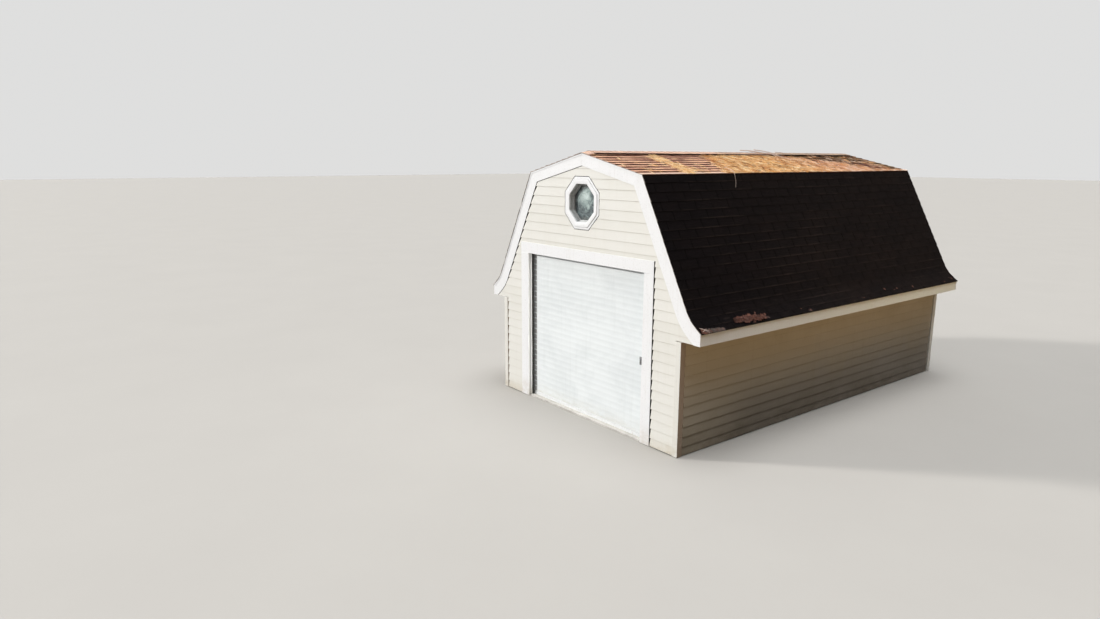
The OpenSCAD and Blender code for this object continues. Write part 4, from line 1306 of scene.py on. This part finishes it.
def drift(rng):
    """Where needles gather on the upper slopes: one drift down the slope near the front, a ragged carpet behind."""
    while True:
        s = rng.uniform(135, L_UP + 8)
        y = rng.uniform(-3100, 3120)
        mid = np.interp(s, (150, 253, 428, 764, 1132), (-2010, -2040, -2095, -2170, -2275))
        wide = np.interp(s, (150, 260, 380, 620, 1132), (28, 62, 38, 42, 36))
        d1 = (y - mid + 54 * shades(s * 3.4, y * 2.0)) / wide
        c = 0.80 * math.exp(-0.5 * abs(d1) ** 2.0) * (0.62 + 0.38 * shades(s * 4.1, y * 4.7))
        # a looser scatter beside it, towards the knee
        c = max(c, 0.26 * soft(s, 480, 640) * math.exp(-((y + 2060) / 110) ** 2) * soft(shades(s * 4.0, y * 5.0), 0.0, 0.8))
        wave = clumps(s, y)
        edge = soft(y + s * 0.56, -1010, -760)
        clump = soft(wave, -0.20, 0.60)
        rear = 1 - 0.96 * soft(y, 100, 1150) * (1 - soft(wave, 0.30, 1.0))
        ridge = 1 - 0.92 * soft(y - 2.0 * s, -150, 900)
        bare = 1 - 0.95 * math.exp(-((y - 2460) / 260) ** 2 - ((s - 800) / 190) ** 2)
        mine = edge * clump * rear * ridge * bare
        pale = 0.80 if c > mine else 0.62 + 0.20 * max(-1.0, min(1.0, shades(s, y))) + 0.20 * max(-1.0, min(1.0, clumps(1.7 * s + 900, 1.7 * y)))
        if rng.uniform(0, 1.0) < max(c, mine) + 0.003:
            return 1, s, y, surface_h(s), (rng.normal(1.25, 0.6) if c > mine else rng.normal(1.02, 0.36)), pale


def drift_left(rng):
    side, s, y, h, turn, pale = drift(rng)
    return -1, s, -y * 0.96, h, turn, pale


needle_field("needle_litter_right", 301, 18500, drift)
needle_field("needle_litter_left", 302, 7000, drift_left)


def twig(B, pts, r, tone):
    """A thin bent stick along the points."""
    pts = [np.array(p, float) for p in pts]
    verts, k = [], 5
    for i, p in enumerate(pts):
        t = unit(pts[min(i + 1, len(pts) - 1)] - pts[max(i - 1, 0)])
        a = unit(np.cross(t, (0.3, 0.2, 0.93)))
        b = np.cross(t, a)
        rr = r * (1 - 0.6 * i / (len(pts) - 1))
        for j in range(k):
            w = 2 * math.pi * j / k
            verts.append(p + rr * (math.cos(w) * a + math.sin(w) * b))
    faces = [(i * k + j, i * k + (j + 1) % k, (i + 1) * k + (j + 1) % k, (i + 1) * k + j) for i in range(len(pts) - 1) for j in range(k)]
    faces += [tuple(range(k - 1, -1, -1)), tuple(range((len(pts) - 1) * k, len(pts) * k))]
    B.add(verts, faces, tone, 0.0)


def leaf(B, centre, across, along, n, size, tone, rng):
    """A curled dry leaf: a lobed outline, thin and closed."""
    lobes = [(0.0, -0.5), (0.16, -0.30), (0.42, -0.26), (0.26, -0.06), (0.52, 0.10), (0.22, 0.16), (0.28, 0.42), (0.0, 0.55),
             (-0.28, 0.40), (-0.22, 0.16), (-0.52, 0.12), (-0.26, -0.06), (-0.42, -0.26), (-0.16, -0.30)]
    curl = rng.uniform(0.3, 1.3)
    k = len(lobes)
    top = []
    for x, y in [(0.0, 0.0)] + lobes:
        h = curl * (x * x * 0.9 + y * y * 0.5) + rng.normal(0, 0.02)
        top.append(centre + size * (x * across + y * along + h * n))
    low = [p - 0.5 * n for p in top]
    faces = [(0, 1 + i, 1 + (i + 1) % k) for i in range(k)]
    faces += [(k + 1, k + 2 + (i + 1) % k, k + 2 + i) for i in range(k)]
    faces += [(1 + (i + 1) % k, 1 + i, k + 2 + i, k + 2 + (i + 1) % k) for i in range(k)]
    B.add(top + low, faces, tone, 0.0)


def on_slope(side, s, y, h, lower):
    if lower:
        p, n = low_path(np.array(s))
    else:
        p, n = P_RIDGE + s * D_UP, N_UP
    q = p + h * n
    return np.array((side * q[0], y, q[1])), np.array((side * n[0], 0.0, n[1]))


B = Build()
rng = np.random.default_rng(404)
T_END = L_LOW + L_FL
# a low heap of leaves caught on the flared eave near the front, and a matted patch by the corner
for _ in range(180):
    t_ = rng.uniform(-1, 1)
    y = -2185 + 285 * t_
    w_ = math.sqrt(max(0.0, 1 - t_ * t_))
    s = L_LOW + 156 + 18 * t_ + 52 * w_ * rng.uniform(-1, 1)
    h = 13 + 18 * w_ * rng.uniform(0, 1) ** 1.4
    p, n = on_slope(1, s, y, h, True)
    t = rng.normal(0, 1, 3); t -= t @ n * n; t = unit(t)
    n2 = unit(n + rng.normal(0, 0.22, 3)); t = unit(t - t @ n2 * n2)
    leaf(B, p, t, np.cross(n2, t), n2, rng.uniform(30, 52), float(np.clip(rng.normal(0.50, 0.16), 0, 0.80)), rng)
for _ in range(95):
    t_ = rng.uniform(0, 1)
    y = -3110 + 380 * t_
    s = L_LOW + 232 - (58 * (1 - 0.75 * t_)) * rng.uniform(0, 1)
    p, n = on_slope(1, s, y, 13 + rng.uniform(0, 5), True)
    t = rng.normal(0, 1, 3); t -= t @ n * n; t = unit(t)
    leaf(B, p, t, np.cross(n, t), n, rng.uniform(28, 46), float(np.clip(rng.normal(0.93, 0.1) - (0.35 if t_ < 0.12 else 0.0), 0, 1)), rng)
for _ in range(28):
    side = rng.choice((1, -1))
    y, s = rng.uniform(-3000, 3080), T_END - 12 - abs(rng.normal(0, 60))
    p, n = on_slope(side, s, y, 13.5, True)
    t = rng.normal(0, 1, 3); t -= t @ n * n; t = unit(t)
    leaf(B, p, t, np.cross(n, t), n, rng.uniform(22, 48), float(rng.uniform(0.0, 0.8)), rng)
for _ in range(90):
    side = rng.choice((1, -1))
    y, s = rng.uniform(-2500, 3080), rng.uniform(180, L_UP)
    p, n = on_slope(side, s, y, surface_h(s) + 2.0, False)
    t = rng.normal(0, 1, 3); t -= t @ n * n; t = unit(t)
    leaf(B, p, t, np.cross(n, t), n, rng.uniform(25, 55), float(rng.uniform(0.3, 1.0)), rng)
B.piece("leaf_litter", M_LEAF, "shingles")

B = Build()


def stick(side, pts, r, tone):
    out = []
    for s, y, h, lower in pts:
        out.append(on_slope(side, s, y, h, lower)[0])
    twig(B, out, r, tone)


stick(1, [(860, -1300, 19, False), (1050, -1370, 22, False), (1140, -1440, 26, False), (24, -1461, 24, True), (98, -1467, 17, True), (150, -1488, 15, True), (205, -1520, 16, True)], 3.9, 0.85)
stick(1, [(-40, 110, 58, False), (10, 300, 66, False), (60, 490, 52, False), (110, 600, 46, False)], 7.0, 1.0)
stick(1, [(0, 400, 78, False), (20, 570, 68, False), (70, 760, 50, False), (200, 840, 24, False), (280, 870, 18, False)], 7.5, 1.0)
stick(1, [(60, 520, 50, False), (140, 690, 46, False), (300, 860, 24, False), (430, 910, 20, False)], 6.5, 0.95)
stick(1, [(90, 700, 48, False), (150, 690, 44, False), (230, 690, 24, False), (330, 640, 18, False)], 5.5, 0.95)
stick(1, [(15, 250, 62, False), (60, 330, 60, False), (90, 470, 50, False)], 5.5, 0.95)
stick(1, [(20, 940, 50, False), (80, 1020, 56, False), (100, 1130, 47, False)], 4.5, 0.95)
stick(1, [(240, 640, 18, False), (300, 780, 17, False), (420, 840, 16, False)], 4.5, 0.9)
stick(1, [(520, 300, 17, False), (600, 520, 19, False), (690, 700, 17, False)], 4.0, 0.7)
stick(1, [(L_LOW + 205, -3095, 19, True), (L_LOW + 190, -3040, 24, True), (L_LOW + 215, -2985, 20, True)], 4.0, 1.0)
stick(1, [(L_LOW + 160, -3080, 17, True), (L_LOW + 195, -3045, 25, True), (L_LOW + 232, -3000, 19, True)], 3.5, 1.0)
stick(1, [(L_LOW + 150, -3105, 17, True), (L_LOW + 175, -3070, 20, True), (L_LOW + 185, -3010, 18, True)], 3.5, 0.95)
stick(-1, [(500, 400, 15, False), (640, 520, 17, False), (700, 720, 14, False)], 4.0, 0.6)
stick(-1, [(900, -1500, 15, False), (980, -1250, 17, False), (1060, -1100, 14, False)], 4.0, 0.7)
B.piece("twig_litter", M_TWIG, "shingles")

# ---------------------------------------------------------------- floor and light
me = bpy.data.meshes.new("floor")
me.from_pydata([(-150, -150, 0), (150, -150, 0), (150, 150, 0), (-150, 150, 0)], [], [(0, 1, 2, 3)])
floor = bpy.data.objects.new("floor", me)
scene.collection.objects.link(floor)
g = Nodes("floor")
me.materials.append(g.done(g.mix(g.noise(g.co, 0.6, 4, 0.6), (0.405, 0.382, 0.354), (0.432, 0.41, 0.378)), 0.9, None, Specular_IOR_Level=0.2))
floor.visible_diffuse = False        # the low light of the world takes the place of its bounce
floor.visible_shadow = False

sun_data = bpy.data.lights.new("key", "SUN")
sun_data.energy = 3.15
sun_data.angle = math.radians(6)
sun_data.color = (1.0, 0.985, 0.965)
sun = bpy.data.objects.new("key", sun_data)
scene.collection.objects.link(sun)
az, el = math.radians(-46), math.radians(17.5)
to_sun = Vector((math.sin(az) * math.cos(el), -math.cos(az) * math.cos(el), math.sin(el)))
sun.rotation_mode = "QUATERNION"
sun.rotation_quaternion = to_sun.to_track_quat("Z", "Y")

# a wide reflector that lies on the floor to the right, tinted like fallen leaves
card_data = bpy.data.lights.new("card", "AREA")
card_data.shape = "RECTANGLE"
card_data.size, card_data.size_y = 6.0, 13.0
card_data.energy = 0.78 * math.pi * 78.0
card_data.color = (1.0, 0.65, 0.27)
card = bpy.data.objects.new("card", card_data)
scene.collection.objects.link(card)
card.matrix_world = Matrix.Translation((7.0, 0.3, 0.02)) @ Matrix.Rotation(math.pi, 4, "X")
card.visible_camera = False

# a slim reflector at the right jamb throws light across the recess on the left jamb
strip_data = bpy.data.lights.new("strip", "AREA")
strip_data.shape = "RECTANGLE"
strip_data.size, strip_data.size_y = 0.042, 2.10
strip_data.spread = math.radians(12)
strip_data.energy = 1.10
strip_data.color = (1.0, 0.98, 0.90)
strip = bpy.data.objects.new("strip", strip_data)
scene.collection.objects.link(strip)
strip.matrix_world = Matrix(((0, 0, 1, 1.185), (1, 0, 0, -3.122), (0, 1, 0, 1.12), (0, 0, 0, 1)))
strip.visible_camera = False

# a large soft light overhead, an even light all round; the camera sees a plain pale backdrop
world = bpy.data.worlds.new("studio")
scene.world = world
world.use_nodes = True
wt = world.node_tree
wt.nodes.clear()
wo = wt.nodes.new("ShaderNodeOutputWorld")
bg = wt.nodes.new("ShaderNodeBackground")
back = wt.nodes.new("ShaderNodeBackground")
mixer = wt.nodes.new("ShaderNodeMixShader")
lp = wt.nodes.new("ShaderNodeLightPath")
tc = wt.nodes.new("ShaderNodeTexCoord")


def world_span(value, a, b, c, d):
    n = wt.nodes.new("ShaderNodeMapRange")
    n.interpolation_type = "SMOOTHSTEP"
    for key, x in (("From Min", a), ("From Max", b), ("To Min", c), ("To Max", d)):
        n.inputs[key].default_value = x
    wt.links.new(value, n.inputs["Value"])
    return n.outputs[0]


dot = wt.nodes.new("ShaderNodeVectorMath")
dot.operation = "DOT_PRODUCT"
dot.inputs[1].default_value = (0.13, 0.0, 0.9915)
wt.links.new(tc.outputs["Generated"], dot.inputs[0])
axis_z = wt.nodes.new("ShaderNodeSeparateXYZ")
wt.links.new(tc.outputs["Generated"], axis_z.inputs[0])
top_light = world_span(dot.outputs["Value"], 0.85, 0.97, 0.0, 6.2)
# low down the light is even all round, a little weaker on the right, where it comes off fallen leaves
toward = wt.nodes.new("ShaderNodeVectorMath")
toward.operation = "DOT_PRODUCT"
toward.inputs[1].default_value = (0.94, 0.34, 0.0)
wt.links.new(tc.outputs["Generated"], toward.inputs[0])
ring_light = world_span(toward.outputs["Value"], -0.1, 0.6, 0.55, 0.17)
below = world_span(axis_z.outputs[2], -0.06, 0.06, 0.20, 1.0)
even = wt.nodes.new("ShaderNodeMath")
even.operation = "MULTIPLY"
wt.links.new(ring_light, even.inputs[0])
wt.links.new(below, even.inputs[1])
total = wt.nodes.new("ShaderNodeMath")
total.operation = "MAXIMUM"
wt.links.new(top_light, total.inputs[0])
wt.links.new(even.outputs[0], total.inputs[1])
warmth = wt.nodes.new("ShaderNodeMath")
warmth.operation = "MULTIPLY"
wt.links.new(world_span(toward.outputs["Value"], -0.1, 0.6, 0.0, 1.0), warmth.inputs[0])
wt.links.new(world_span(axis_z.outputs[2], 0.02, 0.50, 1.0, 0.0), warmth.inputs[1])
tint = wt.nodes.new("ShaderNodeMix")
tint.data_type = "RGBA"
tint.inputs[6].default_value = (0.95, 0.975, 1.0, 1)
tint.inputs[7].default_value = (1.0, 0.77, 0.50, 1)
wt.links.new(warmth.outputs[0], tint.inputs[0])
wt.links.new(total.outputs[0], bg.inputs["Strength"])
wt.links.new(tint.outputs[2], bg.inputs["Color"])
back.inputs["Color"].default_value = (0.80, 0.80, 0.795, 1)
back.inputs["Strength"].default_value = 0.92
wt.links.new(lp.outputs["Is Camera Ray"], mixer.inputs[0])
wt.links.new(bg.outputs[0], mixer.inputs[1])
wt.links.new(back.outputs[0], mixer.inputs[2])
wt.links.new(mixer.outputs[0], wo.inputs[0])
scene.view_settings.view_transform = "Standard"
